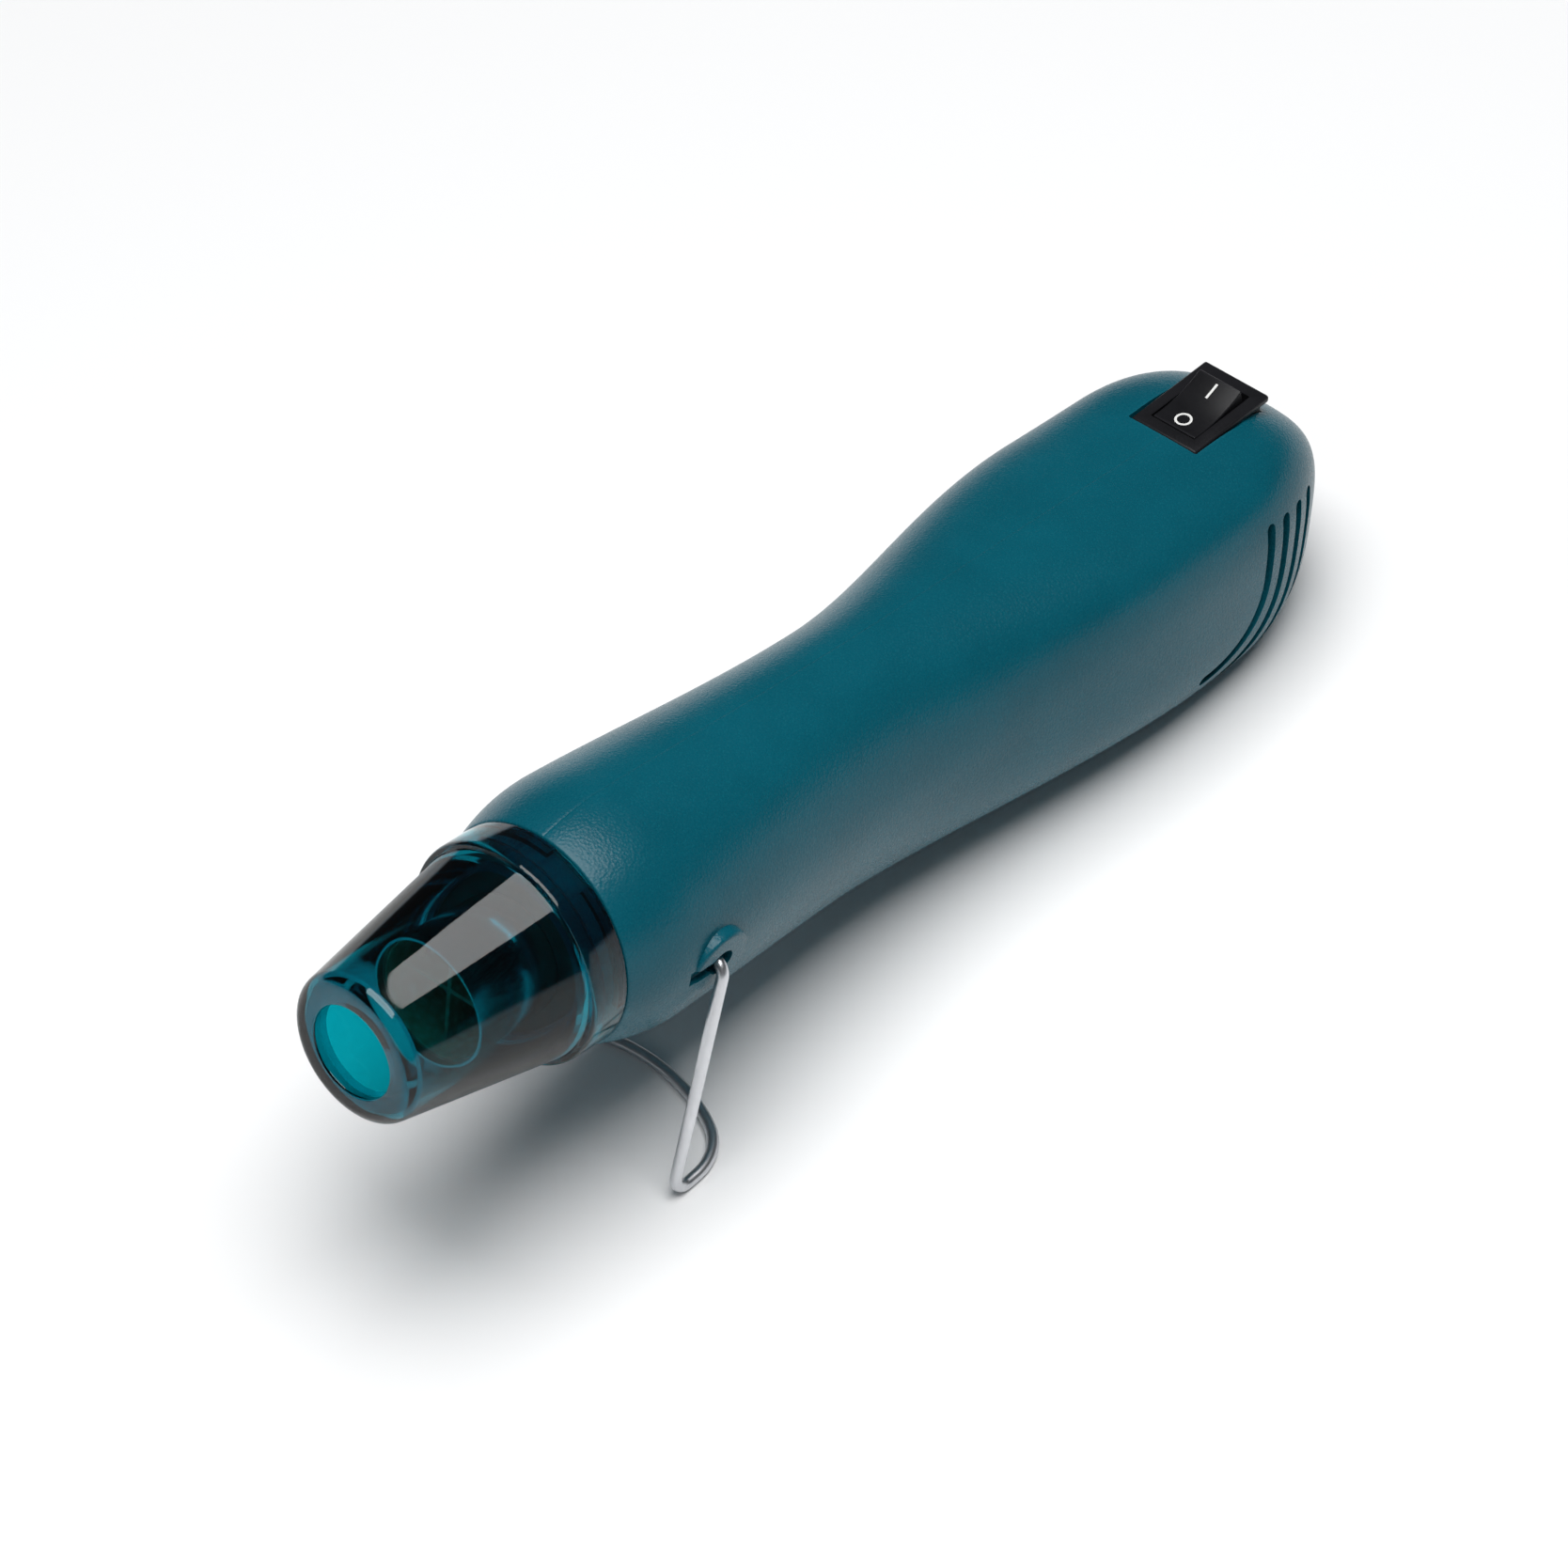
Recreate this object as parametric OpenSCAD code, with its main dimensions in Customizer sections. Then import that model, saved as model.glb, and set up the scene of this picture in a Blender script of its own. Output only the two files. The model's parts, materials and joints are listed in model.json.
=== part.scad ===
// Embossing heat tool on its folding wire stand.
// Tool frame: X runs from the nozzle rim at 0 to the tail, Z is up, Y = 0 is the parting plane.
// place() tips the tool nozzle up until the belly of the handle touches the floor.

/* [Body lengths] */
// Length of the nozzle cap, from its front rim to its joint with the body
cap_l = 44; // [40:0.5:48]
// Length from the cap joint to the waist, the narrowest place of the body
barrel_l = 77; // [72:0.5:84]
// Length from the waist to the widest place of the handle
grip_l = 68.4; // [62:0.2:76]
// Length from the widest place of the handle to the end of the tail
tail_l = 50.6; // [47:0.2:56]
// Length of the rounded end of the tail
dome_l = 32.3; // [30:0.1:35]
// Length over which the round front swells to the body
swell_l = 15.8; // [12:0.1:20]

/* [Body section] */
// Radius of the round front end of the body
nose_r = 20.9; // [20.6:0.1:21.2]
// Half width at the shoulder behind the cap
shoulder_w = 24; // [23.2:0.1:24.2]
// Height above the middle line at the shoulder
shoulder_up = 24; // [23:0.1:26]
// Depth below the middle line at the shoulder
shoulder_down = 23.9; // [23:0.1:26]
// Height of the middle line at the shoulder
shoulder_mid = -0.5; // [-1:0.1:0.5]
// Half width at the waist
waist_w = 19.3; // [19:0.1:22]
// Height above the middle line at the waist
waist_up = 23.9; // [22:0.1:26]
// Depth below the middle line at the waist
waist_down = 25.2; // [23:0.1:27]
// Height of the middle line at the waist
waist_mid = -1.9; // [-3:0.1:0]
// Half width at the widest place of the handle
handle_w = 25.1; // [23:0.1:28]
// Height above the middle line at the widest place of the handle
handle_up = 21.6; // [20.5:0.1:24]
// Depth below the middle line at the widest place of the handle
handle_down = 24.8; // [23:0.1:27]
// Height of the middle line at the widest place of the handle
handle_mid = 1.4; // [0:0.1:3]
// Half width that the tail tends to
tail_w = 22.9; // [21:0.1:25]
// Height above the middle line that the tail tends to
tail_up = 23.1; // [22:0.1:25]
// Depth below the middle line that the tail tends to
tail_down = 23.9; // [22:0.1:26]
// Height of the middle line at the tail
tail_mid = 3.1; // [2:0.1:4]
// Fullness of the upper corners of the handle, where 2 is an ellipse
full_up = 3.5; // [2:0.02:3.8]
// Fullness of the lower corners of the handle, where 2 is an ellipse
full_down = 3.34; // [2:0.02:3.6]
// Fullness of the rounded end of the tail, where 2 is an ellipse
full_tail = 2.14; // [2:0.02:2.4]
// Thickness of the moulded wall
wall = 2.2; // [1.8:0.1:2.6]

/* [Nozzle cap] */
// Radius of the air outlet
outlet_r = 8.65; // [7:0.05:9.5]
// Depth of the outlet's straight land
outlet_t = 3; // [2:0.1:4]
// Radius of the cap's cone, run out to the front plane
rim_r = 13.7; // [13.2:0.1:14.5]
// Rounding of the front rim
rim_round = 2.6; // [1.5:0.1:3]
// Radius of the cone at its rear end
cone_r = 19.6; // [19:0.1:20]
// Length of the collar that grips the body
collar_l = 8.1; // [7:0.1:9]
// Wall of the cap's cone
cap_wall = 1.8; // [1.4:0.1:2]
// Half angle of the notch under the collar that the body's tongue fills
notch_half = 42; // [30:1:50]

/* [Wire stand] */
// Diameter of the stand's wire
wire_d = 2.2; // [1.8:0.1:2.4]
// Length of a leg, from the pivot to the floor bend
leg_l = 47.4; // [44:0.2:54]
// Lean of the leg from upright, towards the nozzle
leg_lean = 21.8; // [15:0.2:26]
// Half distance between the two legs
leg_y = 24.7; // [24.6:0.1:26]
// Distance that the foot reaches behind the legs
foot_l = 20.6; // [17:0.2:24]
// Radius of the foot's wide arc
foot_r = 40; // [36:0.5:46]
// Radius of the foot's two corner arcs
foot_corner_r = 11; // [8:0.5:13]
// Radius of the wire's small bends
bend_r = 2.75; // [2.3:0.05:3]
// Distance of the pivot behind the cap joint
pivot_back = 20.3; // [18:0.1:23]
// Height of the pivot, measured from the nozzle's axis
pivot_z = -3.4; // [-5:0.1:-1]
// Radius of the boss round the pivot
boss_r = 6.4; // [5.5:0.1:7]
// Distance of the boss face from the parting plane, at the pivot
boss_y = 23.8; // [23.4:0.1:24]
// Slant of the boss face
boss_slant = 13; // [8:0.5:16]

/* [Air slots] */
// Number of air slots on each side
slot_n = 4; // [2:1:4]
// Width of a slot
slot_w = 2.4; // [1.6:0.1:3]
// Radius of the first slot's bend
slot_r = 16; // [14:0.5:17]
// Distance from one slot to the next
slot_pitch = 5; // [4:0.1:5]
// Distance of the slots' common centre in front of the tail's end
slot_back = 47; // [45:0.5:49]
// Height of the slots' common centre
slot_z = 3.5; // [2:0.5:5]
// Height of the upper end of the first slot above that centre
slot_up = 9.8; // [8:0.5:12]
// Depth below the common centre at which the slots end
slot_down = 21.5; // [18:0.5:22]

/* [Rocker switch] */
// Length of the switch's flange
flange_l = 21; // [20:0.1:22]
// Width of the switch's flange
flange_w = 15; // [14:0.1:16]
// Thickness of the switch's flange
flange_t = 1.5; // [1.2:0.1:2]
// Distance of the switch's middle in front of the tail's end
switch_back = 24.2; // [23:0.1:26]
// Height of the middle of the flange's top
switch_z = 24.8; // [24:0.1:26]
// Tilt of the switch, tail end up
switch_tilt = 6.9; // [5:0.1:10]
// Swing of the rocker from one end stop to the other
rocker_swing = 22; // [18:1:22]

/* [Fan and motor] */
// Radius of the fan over its blades
fan_r = 15.4; // [14:0.1:15.6]
// Number of fan blades
blade_n = 7; // [5:1:9]
// Radius of the motor's can
motor_r = 12; // [10.5:0.1:12.6]
// Length of the motor's can
motor_l = 26; // [22:0.5:30]
// Diameter of the motor's shaft
shaft_d = 2; // [1.5:0.1:2.4]

/* [Heater] */
// Radius of the metal heater tube
tube_r = 12.4; // [11.5:0.1:12.8]
// Distance from the cap's front rim to the tube's front edge
tube_front = 18; // [16:0.5:20]
// Length of the heater tube
tube_l = 56; // [52:0.5:58]
// Number of turns of the heating winding
coil_turns = 14; // [8:1:16]
// Diameter of the heating winding's wire
coil_wire_d = 0.9; // [0.7:0.05:1]

/* [Inlet] */
// Radius of the hole through the cord bush
inlet_r = 3.1; // [2.6:0.1:3.4]

/* [Hidden] */
$fn = 96;

// Clearances: joint between two mouldings, sliding fit of round parts, running fit of a pivot
seam = 0.2;
fit = 0.1;
pivot_fit = 0.05;
// Margin by which a cutting tool stands proud of what it cuts
over = 1;

// Stations of the body
shoulder_x = cap_l + 2;
waist_x = cap_l + barrel_l;
handle_x = waist_x + grip_l;
tail_x = handle_x + tail_l;
dome_x = tail_x - dome_l;
shell_front = cap_l + seam;

// Grid of the loft: rings in the swell, along the barrel and handle, and round the dome
swell_rings = 5;
side_rings = 13;
dome_rings = 8;
half_segs = 22;
dome_last = 83;

function mix(a, b, t) = a + (b - a) * t;
function unit(t) = min(1, max(0, t));
function ease(t) = (1 - cos(180 * unit(t))) / 2;
// A value that runs smoothly through the shoulder, waist, handle and tail
function along(x, v) =
  x < waist_x ? mix(v[0], v[1], ease((x - shoulder_x) / (waist_x - shoulder_x)))
  : x < handle_x ? mix(v[1], v[2], ease((x - waist_x) / grip_l))
  : mix(v[2], v[3], ease((x - handle_x) / tail_l));
// How much of the round front is left at x, from 1 at the joint to 0 behind the swell
function swell(x) = pow(1 - unit((x - cap_l) / swell_l), 2);
widths = [shoulder_w, waist_w, handle_w, tail_w];
ups = [shoulder_up, waist_up, handle_up, tail_up];
downs = [shoulder_down, waist_down, handle_down, tail_down];
mids = [shoulder_mid, waist_mid, handle_mid, tail_mid];
function radius_at(x, v) = along(x, v) - (v[0] - nose_r) * swell(x);
function mid_at(x) = along(x, mids) - shoulder_mid * swell(x);
// Fullness of the section, which grows from an ellipse at a distance of lead before the waist
function fullness(x, top, lead) =
  mix(2, top, ease((x - waist_x + lead) / (grip_l + lead)));
// Share of the section that is left at k, which runs from 0 to 1 along the dome
function dome_share(k) = pow(1 - pow(k, full_tail), 1 / full_tail);
// Point of the skin, inset by o, at station x and angle a from the side towards the top
function skin(x, s, a, o) =
  let (
    up = a >= 0,
    e = 2 / (up ? fullness(x, full_up, 0) : fullness(x, full_down, 20)),
    r = radius_at(x, up ? ups : downs) - o,
    c = pow(max(0, cos(a)), e),
    h = pow(abs(sin(a)), e)
  ) [x, (radius_at(x, widths) - o) * s * c, mid_at(x) + r * s * h * sign(a)];
// Stations as pairs of place and section share, for a skin inset by o
function stations(o) = concat(
  [for (i = [0 : swell_rings - 1])
    [mix(shell_front, cap_l + swell_l, i / swell_rings), 1]],
  [for (i = [0 : side_rings])
    [mix(cap_l + swell_l, dome_x, i / side_rings), 1]],
  [for (i = [1 : dome_rings])
    let (a = dome_last * i / dome_rings, k = pow(sin(a), 2 / full_tail))
    [dome_x + (dome_l - o) * k, dome_share(k)]]
);
ring_n = swell_rings + side_rings + 1 + dome_rings;
row = half_segs + 1;
function half_points(o) = [
  for (s = stations(o), j = [0 : half_segs])
    skin(s[0], s[1], -90 + 180 * j / half_segs, o)
];
// Two triangles of a four-cornered patch
function patch(a, b, c, d) = [[a, b, c], [a, c, d]];

// Half of a hollow skin between the insets 0 and wall, on the side of positive Y
module half_skin() {
  skin_n = ring_n * row;
  function o(i, j) = i * row + j;
  function n(i, j) = skin_n + i * row + j;
  last = ring_n - 1;
  polyhedron(
    points = concat(half_points(0), half_points(wall)),
    faces = concat(
      [for (i = [0 : last - 1], j = [0 : half_segs - 1])
        each patch(o(i, j), o(i + 1, j), o(i + 1, j + 1), o(i, j + 1))],
      [for (i = [0 : last - 1], j = [0 : half_segs - 1])
        each patch(n(i, j), n(i, j + 1), n(i + 1, j + 1), n(i + 1, j))],
      [for (j = [0 : half_segs - 1])
        each patch(o(0, j), o(0, j + 1), n(0, j + 1), n(0, j))],
      [for (j = [0 : half_segs - 1])
        each patch(o(last, j), n(last, j), n(last, j + 1), o(last, j + 1))],
      [for (i = [0 : last - 1])
        each patch(o(i, 0), n(i, 0), n(i + 1, 0), o(i + 1, 0))],
      [for (i = [0 : last - 1])
        each patch(n(i, half_segs), o(i, half_segs), o(i + 1, half_segs), n(i + 1, half_segs))]
    )
  );
}

// Solid half of the body, inset so far that what it trims ends inside the wall
module half_core() {
  inset = wall * 0.4;
  pts = half_points(inset);
  last = ring_n - 1;
  function o(i, j) = i * row + j;
  polyhedron(
    points = pts,
    faces = concat(
      [for (i = [0 : last - 1], j = [0 : half_segs - 1])
        each patch(o(i, j), o(i + 1, j), o(i + 1, j + 1), o(i, j + 1))],
      [for (j = [1 : half_segs - 1]) [o(0, 0), o(0, j), o(0, j + 1)]],
      [for (j = [1 : half_segs - 1]) [o(last, 0), o(last, j + 1), o(last, j)]],
      [for (i = [0 : last - 1])
        each patch(o(i, half_segs), o(i + 1, half_segs), o(i + 1, 0), o(i, 0))]
    )
  );
}

// Rest position: the belly station that touches the floor first sets the tilt
wire_r = wire_d / 2;
pivot_x = cap_l + pivot_back;
pivot_h = leg_l * cos(leg_lean) + wire_r;
function belly(s) = mid_at(s[0]) - radius_at(s[0], downs) * s[1];
function crown(s) = mid_at(s[0]) + radius_at(s[0], ups) * s[1];
function tilt_at(s) =
  let (dx = s[0] - pivot_x, dz = belly(s) - pivot_z, far = norm([dx, dz]))
  dx > 0 && far > pivot_h ? acos(-pivot_h / far) - atan2(dx, dz) : 90;
tilt = min([for (s = stations(0)) tilt_at(s)]);
function turned(x, z) = [x * cos(tilt) + z * sin(tilt), -x * sin(tilt) + z * cos(tilt)];

// Nozzle cap outline
cone_slope = atan((cone_r - rim_r) / (cap_l - collar_l));
step_x = cap_l - collar_l;
step_r = cone_r + 0.8;
collar_r = nose_r;
rim_c = rim_r + rim_round * tan(cone_slope) - rim_round / cos(cone_slope);

// Cap mounting on the body: a spigot with lugs, inside the collar
spigot_r = collar_r - 2.4;
spigot_in = spigot_r - 2.2;
spigot_l = cap_l - step_x - 1;
collar_in = spigot_r + 0.3;
lug_n = 4;
lug_turn = 22;
lug_r = spigot_r + 1.1;
lug_x = step_x + 3.6;
lug_l = 2.5;
tongue_x = step_x + 1.6;

// Place of the whole tool: the box of the rest position stands on the floor, centred on Y and X
front_low = rim_round * cos(tilt) - rim_c * sin(tilt) - rim_round;
gland_x = tail_x - 1.7;
gland_r = inlet_r + 3.1;
rear_far = max(concat(
  [for (s = stations(0)) turned(s[0], crown(s))[0]],
  [turned(gland_x + 2, tail_mid + gland_r)[0]]
));
shift_x = -(front_low + rear_far) / 2;
shift_z = pivot_h - turned(pivot_x, pivot_z)[1];
pivot_at = [turned(pivot_x, pivot_z)[0] + shift_x, 0, pivot_h];

module place() {
  translate([shift_x, 0, shift_z]) rotate([0, tilt, 0]) children();
}
// A profile of radius and place along X, turned about the X axis
module about_x(turn = 360, from = 0) {
  rotate([0, 90, 0]) rotate_extrude(angle = turn, start = from) children();
}
// A cylinder along X
module rod_x(x, r, l) {
  translate([x, 0, 0]) rotate([0, 90, 0]) cylinder(r = r, h = l);
}
// A cylinder along Y
module rod_y(x, y, z, r, l) {
  translate([x, y, z]) rotate([-90, 0, 0]) cylinder(r = r, h = l);
}
// A ring about the X axis
module ring_x(x, r_out, r_in, l) {
  difference() {
    rod_x(x, r_out, l);
    rod_x(x - over, r_in, l + 2 * over);
  }
}
// Sector of a ring about the X axis, from angle a to angle b, where 0 is down and 90 is positive Y
module sector_x(x, r_out, r_in, l, a, b) {
  about_x(b - a, a) translate([r_in, x]) square([r_out - r_in, l]);
}

// Heater seat
tube_back = tube_front + tube_l;
tube_wall = 0.5;
seat_x = cap_l + 2.6;
seat_t = 2;
duct_x = tube_back - 6;

// Air duct, fan and motor, one behind the other
fan_gap = 0.8;
duct_in = fan_r + fan_gap;
duct_r = duct_in + 1.2;
duct_throat = tube_back + 1.5;
duct_bell = duct_throat + 6;
fan_x = duct_bell + 1;
fan_l = 9;
hub_r = 5;
spider_x = fan_x + fan_l + 2.5;
spider_t = 3.5;
motor_x = spider_x + spider_t;
motor_boss_r = 5;
motor_boss_l = 2;
end_cap_t = 3;
motor_end = motor_x + motor_l + end_cap_t;
shaft_r = shaft_d / 2;
shaft_out = 3;
screw_ring = 8;

// Circuit board
board_x = motor_end + 9;
board_l = 30;
board_w = 30;
board_t = 1.6;
board_z = -6;
rail_w = 2.5;

// Housing screws as pairs of place along X and height
screw_at = [
  [motor_end + 7.5, 7.5], [motor_end + 7.5, -19],
  [handle_x + 2.6, 13], [handle_x - 11.4, -15.5]
];
post_r = 4.6;
well_r = 3.4;
well_y = 6;
well_wall = 1.6;
screw_r = 1.25;
screw_l = 15;
head_r = 2.9;
head_l = 2;

// Switch, in a frame whose origin is the middle of the flange's top
switch_x = tail_x - switch_back;
body_l = flange_l - 2.2;
body_w = flange_w - 2.1;
body_h = 12;
cavity_l = body_l - 3.2;
cavity_w = body_w - 2.7;
cavity_h = 8;
rocker_w = cavity_w - 0.5;
rocker_z = -3.5;
stub_r = 1.2;
rest_angle = -rocker_swing / 2;
contact_ratio = -0.5;
contact_z = -6.9;
module at_switch() {
  translate([switch_x, 0, switch_z]) rotate([0, -switch_tilt, 0]) children();
}

// Cord grip inside the tail
clamp_x = tail_x - 11;
clamp_gap = 7;
clamp_post_r = 2.6;
clamp_y = 0.8;

// One air slot as a cutter along Y, at radius r, from its upper end down to the lower limit
module slot(r, up) {
  low = asin(min(0.999, slot_down / r));
  sweep = min(low, 87);
  cut_y = 12;
  cut_l = 20;
  half = slot_w / 2;
  translate([tail_x - slot_back, cut_y, slot_z]) {
    translate([r - half, 0, 0]) cube([slot_w, cut_l, up]);
    rod_y(r, 0, up, half, cut_l);
    rotate([0, sweep, 0]) rod_y(r, 0, 0, half, cut_l);
    translate([0, cut_l, 0]) rotate([90, 0, 0])
      rotate_extrude(angle = sweep, start = -sweep) translate([r - half, 0])
        square([slot_w, cut_l]);
  }
}
module slots() {
  for (i = [0 : slot_n - 1]) slot(slot_r + i * slot_pitch, slot_up - 0.3 * i);
}

// Boss round the stand's pivot, and what is cut into it
module boss() {
  boss_l = 7.4;
  translate([pivot_x, boss_y, pivot_z]) rotate([-boss_slant, 0, 0])
    translate([0, -boss_l, 0]) rotate([-90, 0, 0]) cylinder(r = boss_r, h = boss_l);
}
stub_in = leg_y - bend_r - 4.6;
module pivot_cuts() {
  mouth_r = 2.6;
  mouth_t = 1.3;
  groove_w = 3;
  rod_y(pivot_x, stub_in - 0.3, pivot_z, wire_r + pivot_fit, 12);
  translate([pivot_x, boss_y, pivot_z]) rotate([-boss_slant, 0, 0])
    translate([0, -mouth_t, 0]) {
      rotate([-90, 0, 0]) cylinder(r = mouth_r, h = 4);
      translate([-boss_r - over, 0, -groove_w / 2]) cube([boss_r + over, 4, groove_w]);
    }
}

// Inner ribs and posts of one half, later trimmed to the body's inset skin
module half_ribs() {
  deep = 40;
  // Rib behind the flange of the tube collar
  difference() {
    translate([seat_x + seat_t, 0, -deep]) cube([seat_t, deep, 2 * deep]);
    rod_x(seat_x, tube_r + 0.8, 2 * seat_t + over);
  }
  // Two ribs round the fan duct
  for (x = [duct_bell + 2, spider_x + 0.5]) difference() {
    translate([x, 0, -deep]) cube([seat_t, deep, 2 * deep]);
    rod_x(x - over, duct_r + fit, seat_t + 2 * over);
  }
  // Slotted rail for the edge of the circuit board
  difference() {
    translate([board_x + 2, board_w / 2 - 1, board_z - board_t / 2 - rail_w])
      cube([board_l - 4, deep, board_t + 2 * rail_w]);
    translate([board_x, 0, board_z - board_t / 2 - fit])
      cube([board_l, board_w / 2 + fit, board_t + 2 * fit]);
  }
  // Seat round the switch
  at_switch() translate([-flange_l / 2 - 2.5, 0, -flange_t - 3])
    cube([flange_l, flange_w / 2 + 2.5, 3]);
  // Thickening of the tail round the bush
  translate([0, 0, tail_mid]) rod_x(gland_x - 2.4, gland_r + 2, 4);
}
module shell_half() {
  half_skin();
  intersection() {
    half_core();
    half_ribs();
  }
  // Front wall and spigot
  sector_x(shell_front, nose_r - 0.9, spigot_in, seat_x - shell_front, 0, 180);
  sector_x(cap_l - spigot_l, spigot_r, spigot_in, spigot_l + seam + over, 0, 180);
  for (i = [0 : lug_n / 2 - 1])
    let (a = 360 / lug_n * (i + 0.5) - lug_turn / 2)
    sector_x(lug_x, lug_r, spigot_in + 1, lug_l, a, a + lug_turn);
  // Tongue under the collar
  sector_x(tongue_x + seam, collar_r, spigot_in + 1, cap_l - tongue_x + over, 0, notch_half - 0.6);
  boss();
}
module shell_cuts() {
  slots();
  pivot_cuts();
  at_switch() {
    translate([-flange_l / 2 - 0.3, -flange_w / 2 - 0.4, -flange_t])
      cube([flange_l + 0.6, flange_w + 0.8, 12]);
    translate([-body_l / 2 - 0.25, -body_w / 2 - 0.15, -10])
      cube([body_l + 0.5, body_w + 0.3, 12]);
  }
  translate([0, 0, tail_mid]) {
    rod_x(tail_x - 20, inlet_r + 1.65, 30);
    rod_x(gland_x - 0.3, gland_r + 0.3, 10);
  }
}
module screw_post(p, r) {
  rod_y(p[0], 0, p[1], r, 40);
}

module left_shell() {
  color([0.01, 0.33, 0.39]) place() mirror([0, 1, 0]) difference() {
    union() {
      shell_half();
      intersection() {
        half_core();
        union() {
          for (p = screw_at) screw_post(p, post_r);
          for (s = [-1, 1])
            rod_y(clamp_x, 7, tail_mid + s * clamp_gap, clamp_post_r + 0.5, 40);
        }
      }
      for (s = [-1, 1]) rod_y(clamp_x, -clamp_y, tail_mid + s * clamp_gap, clamp_post_r, 10);
    }
    shell_cuts();
    for (p = screw_at) rod_y(p[0], -over, p[1], screw_r + pivot_fit, 10.5 + over);
    for (s = [-1, 1])
      rod_y(clamp_x, -2 * over, tail_mid + s * clamp_gap, screw_r + pivot_fit, 9);
  }
}
module right_shell() {
  color([0.01, 0.33, 0.39]) place() difference() {
    union() {
      shell_half();
      intersection() {
        half_core();
        for (p = screw_at) screw_post(p, well_r + well_wall);
      }
    }
    shell_cuts();
    for (p = screw_at) {
      rod_y(p[0], -over, p[1], screw_r + 0.4, well_y + 2 * over);
      rod_y(p[0], well_y, p[1], well_r, 40);
    }
  }
}
module housing_screws() {
  color([0.75, 0.75, 0.78]) place() for (p = screw_at) {
    rod_y(p[0], well_y + fit, p[1], head_r, head_l);
    rod_y(p[0], well_y + fit + head_l - screw_l, p[1], screw_r, screw_l - over);
  }
}

module nozzle_cap() {
  back_in = cone_r - cap_wall;
  front_in = rim_r + outlet_t * tan(cone_slope) - cap_wall;
  groove_r = lug_r + 0.3;
  color([0.02, 0.5, 0.55]) place() difference() {
    about_x() polygon(concat(
      [[outlet_r, 0.4], [outlet_r + 0.4, 0]],
      [for (a = [180 : -(90 - cone_slope) / 8 : 90 + cone_slope])
        [rim_c + rim_round * sin(a), rim_round + rim_round * cos(a)]],
      [[cone_r, step_x], [step_r, step_x]],
      [for (a = [0 : 30 : 90])
        [mix(step_r, collar_r, sin(a)), step_x + 1.2 * (1 - cos(a))]],
      [[collar_r, cap_l], [collar_in, cap_l], [collar_in, step_x + 0.8], [back_in, step_x + 0.8],
        [back_in, step_x], [front_in, outlet_t], [outlet_r, outlet_t]]
    ));
    // Ring groove for the lugs, and the slots by which they enter
    ring_x(lug_x - 0.3, groove_r, collar_in - 0.5, lug_l + 0.6);
    for (i = [0 : lug_n - 1])
      let (a = 360 / lug_n * i + 8)
      sector_x(lug_x, groove_r, collar_in - 0.5, cap_l - lug_x + over, a, a + lug_turn + 3);
    // Notch for the tongue of the body
    sector_x(tongue_x, collar_r + over, collar_in - 0.5, cap_l, -notch_half, notch_half);
  }
}

// Stand: two pivot stubs, and between them one bent wire swept along its path
floor_turn = 90 + leg_lean;
floor_cut = bend_r * tan(floor_turn / 2);
foot_z = -leg_l * cos(leg_lean);
toe_x = -leg_l * sin(leg_lean);
corner_y = leg_y - foot_corner_r;
arc_x = toe_x + foot_l - foot_r;
corner_x = arc_x + sqrt(pow(foot_r - foot_corner_r, 2) - pow(corner_y, 2));
corner_turn = asin(corner_y / (foot_r - foot_corner_r));
wire_sides = 12;
function arc_steps(a, b, n) = [for (i = [0 : n]) mix(a, b, i / n)];
// Path of one side, from inside its pivot stub to the end of the foot's corner
leg_dir = [-sin(leg_lean), 0, -cos(leg_lean)];
side_path = concat(
  [[0, leg_y - bend_r - 1, 0]],
  [for (a = arc_steps(0, 90, 6))
    [0, leg_y - bend_r * (1 - sin(a)), 0] + bend_r * (1 - cos(a)) * leg_dir],
  [for (a = arc_steps(-90 - floor_turn, -90, 7))
    [toe_x + floor_cut + bend_r * cos(a), leg_y, foot_z + bend_r * (1 + sin(a))]],
  [for (a = arc_steps(90, corner_turn, 8))
    [corner_x + foot_corner_r * cos(a), corner_y + foot_corner_r * sin(a), foot_z]]
);
side_n = len(side_path);
wire_path = concat(
  side_path,
  [for (a = arc_steps(corner_turn, -corner_turn, 10)) if (abs(a) < corner_turn - 0.1)
    [arc_x + foot_r * cos(a), foot_r * sin(a), foot_z]],
  [for (i = [1 : side_n]) let (q = side_path[side_n - i]) [q[0], -q[1], q[2]]]
);
function step_dir(path, i) = let (d = path[i + 1] - path[i]) d / norm(d);
function path_dir(path, i) =
  let (
    n = len(path),
    d = i == 0 ? step_dir(path, 0) : i == n - 1 ? step_dir(path, n - 2)
      : step_dir(path, i - 1) + step_dir(path, i)
  ) d / norm(d);
function square_to(u, t) = let (v = u - (u * t) * t) v / norm(v);
// A round tube of n sides along a path; each ring's first point is carried on from the last ring
module tube_along(path, r, n, up) {
  last = len(path) - 1;
  dirs = [for (i = [0 : last]) path_dir(path, i)];
  ups = [for (i = 0, u = square_to(up, dirs[0]); i <= last;
    i = i + 1, u = i <= last ? square_to(u, dirs[i]) : u) u];
  polyhedron(
    points = [for (i = [0 : last], k = [0 : n - 1])
      let (a = 360 * k / n)
      path[i] + r * (cos(a) * ups[i] + sin(a) * cross(dirs[i], ups[i]))],
    faces = concat(
      [for (i = [0 : last - 1], k = [0 : n - 1])
        let (l = (k + 1) % n, a = i * n, b = a + n) each patch(a + k, b + k, b + l, a + l)],
      [for (k = [1 : n - 2]) [0, k, k + 1]],
      [for (k = [1 : n - 2]) [last * n, last * n + k + 1, last * n + k]]
    )
  );
}
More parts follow.
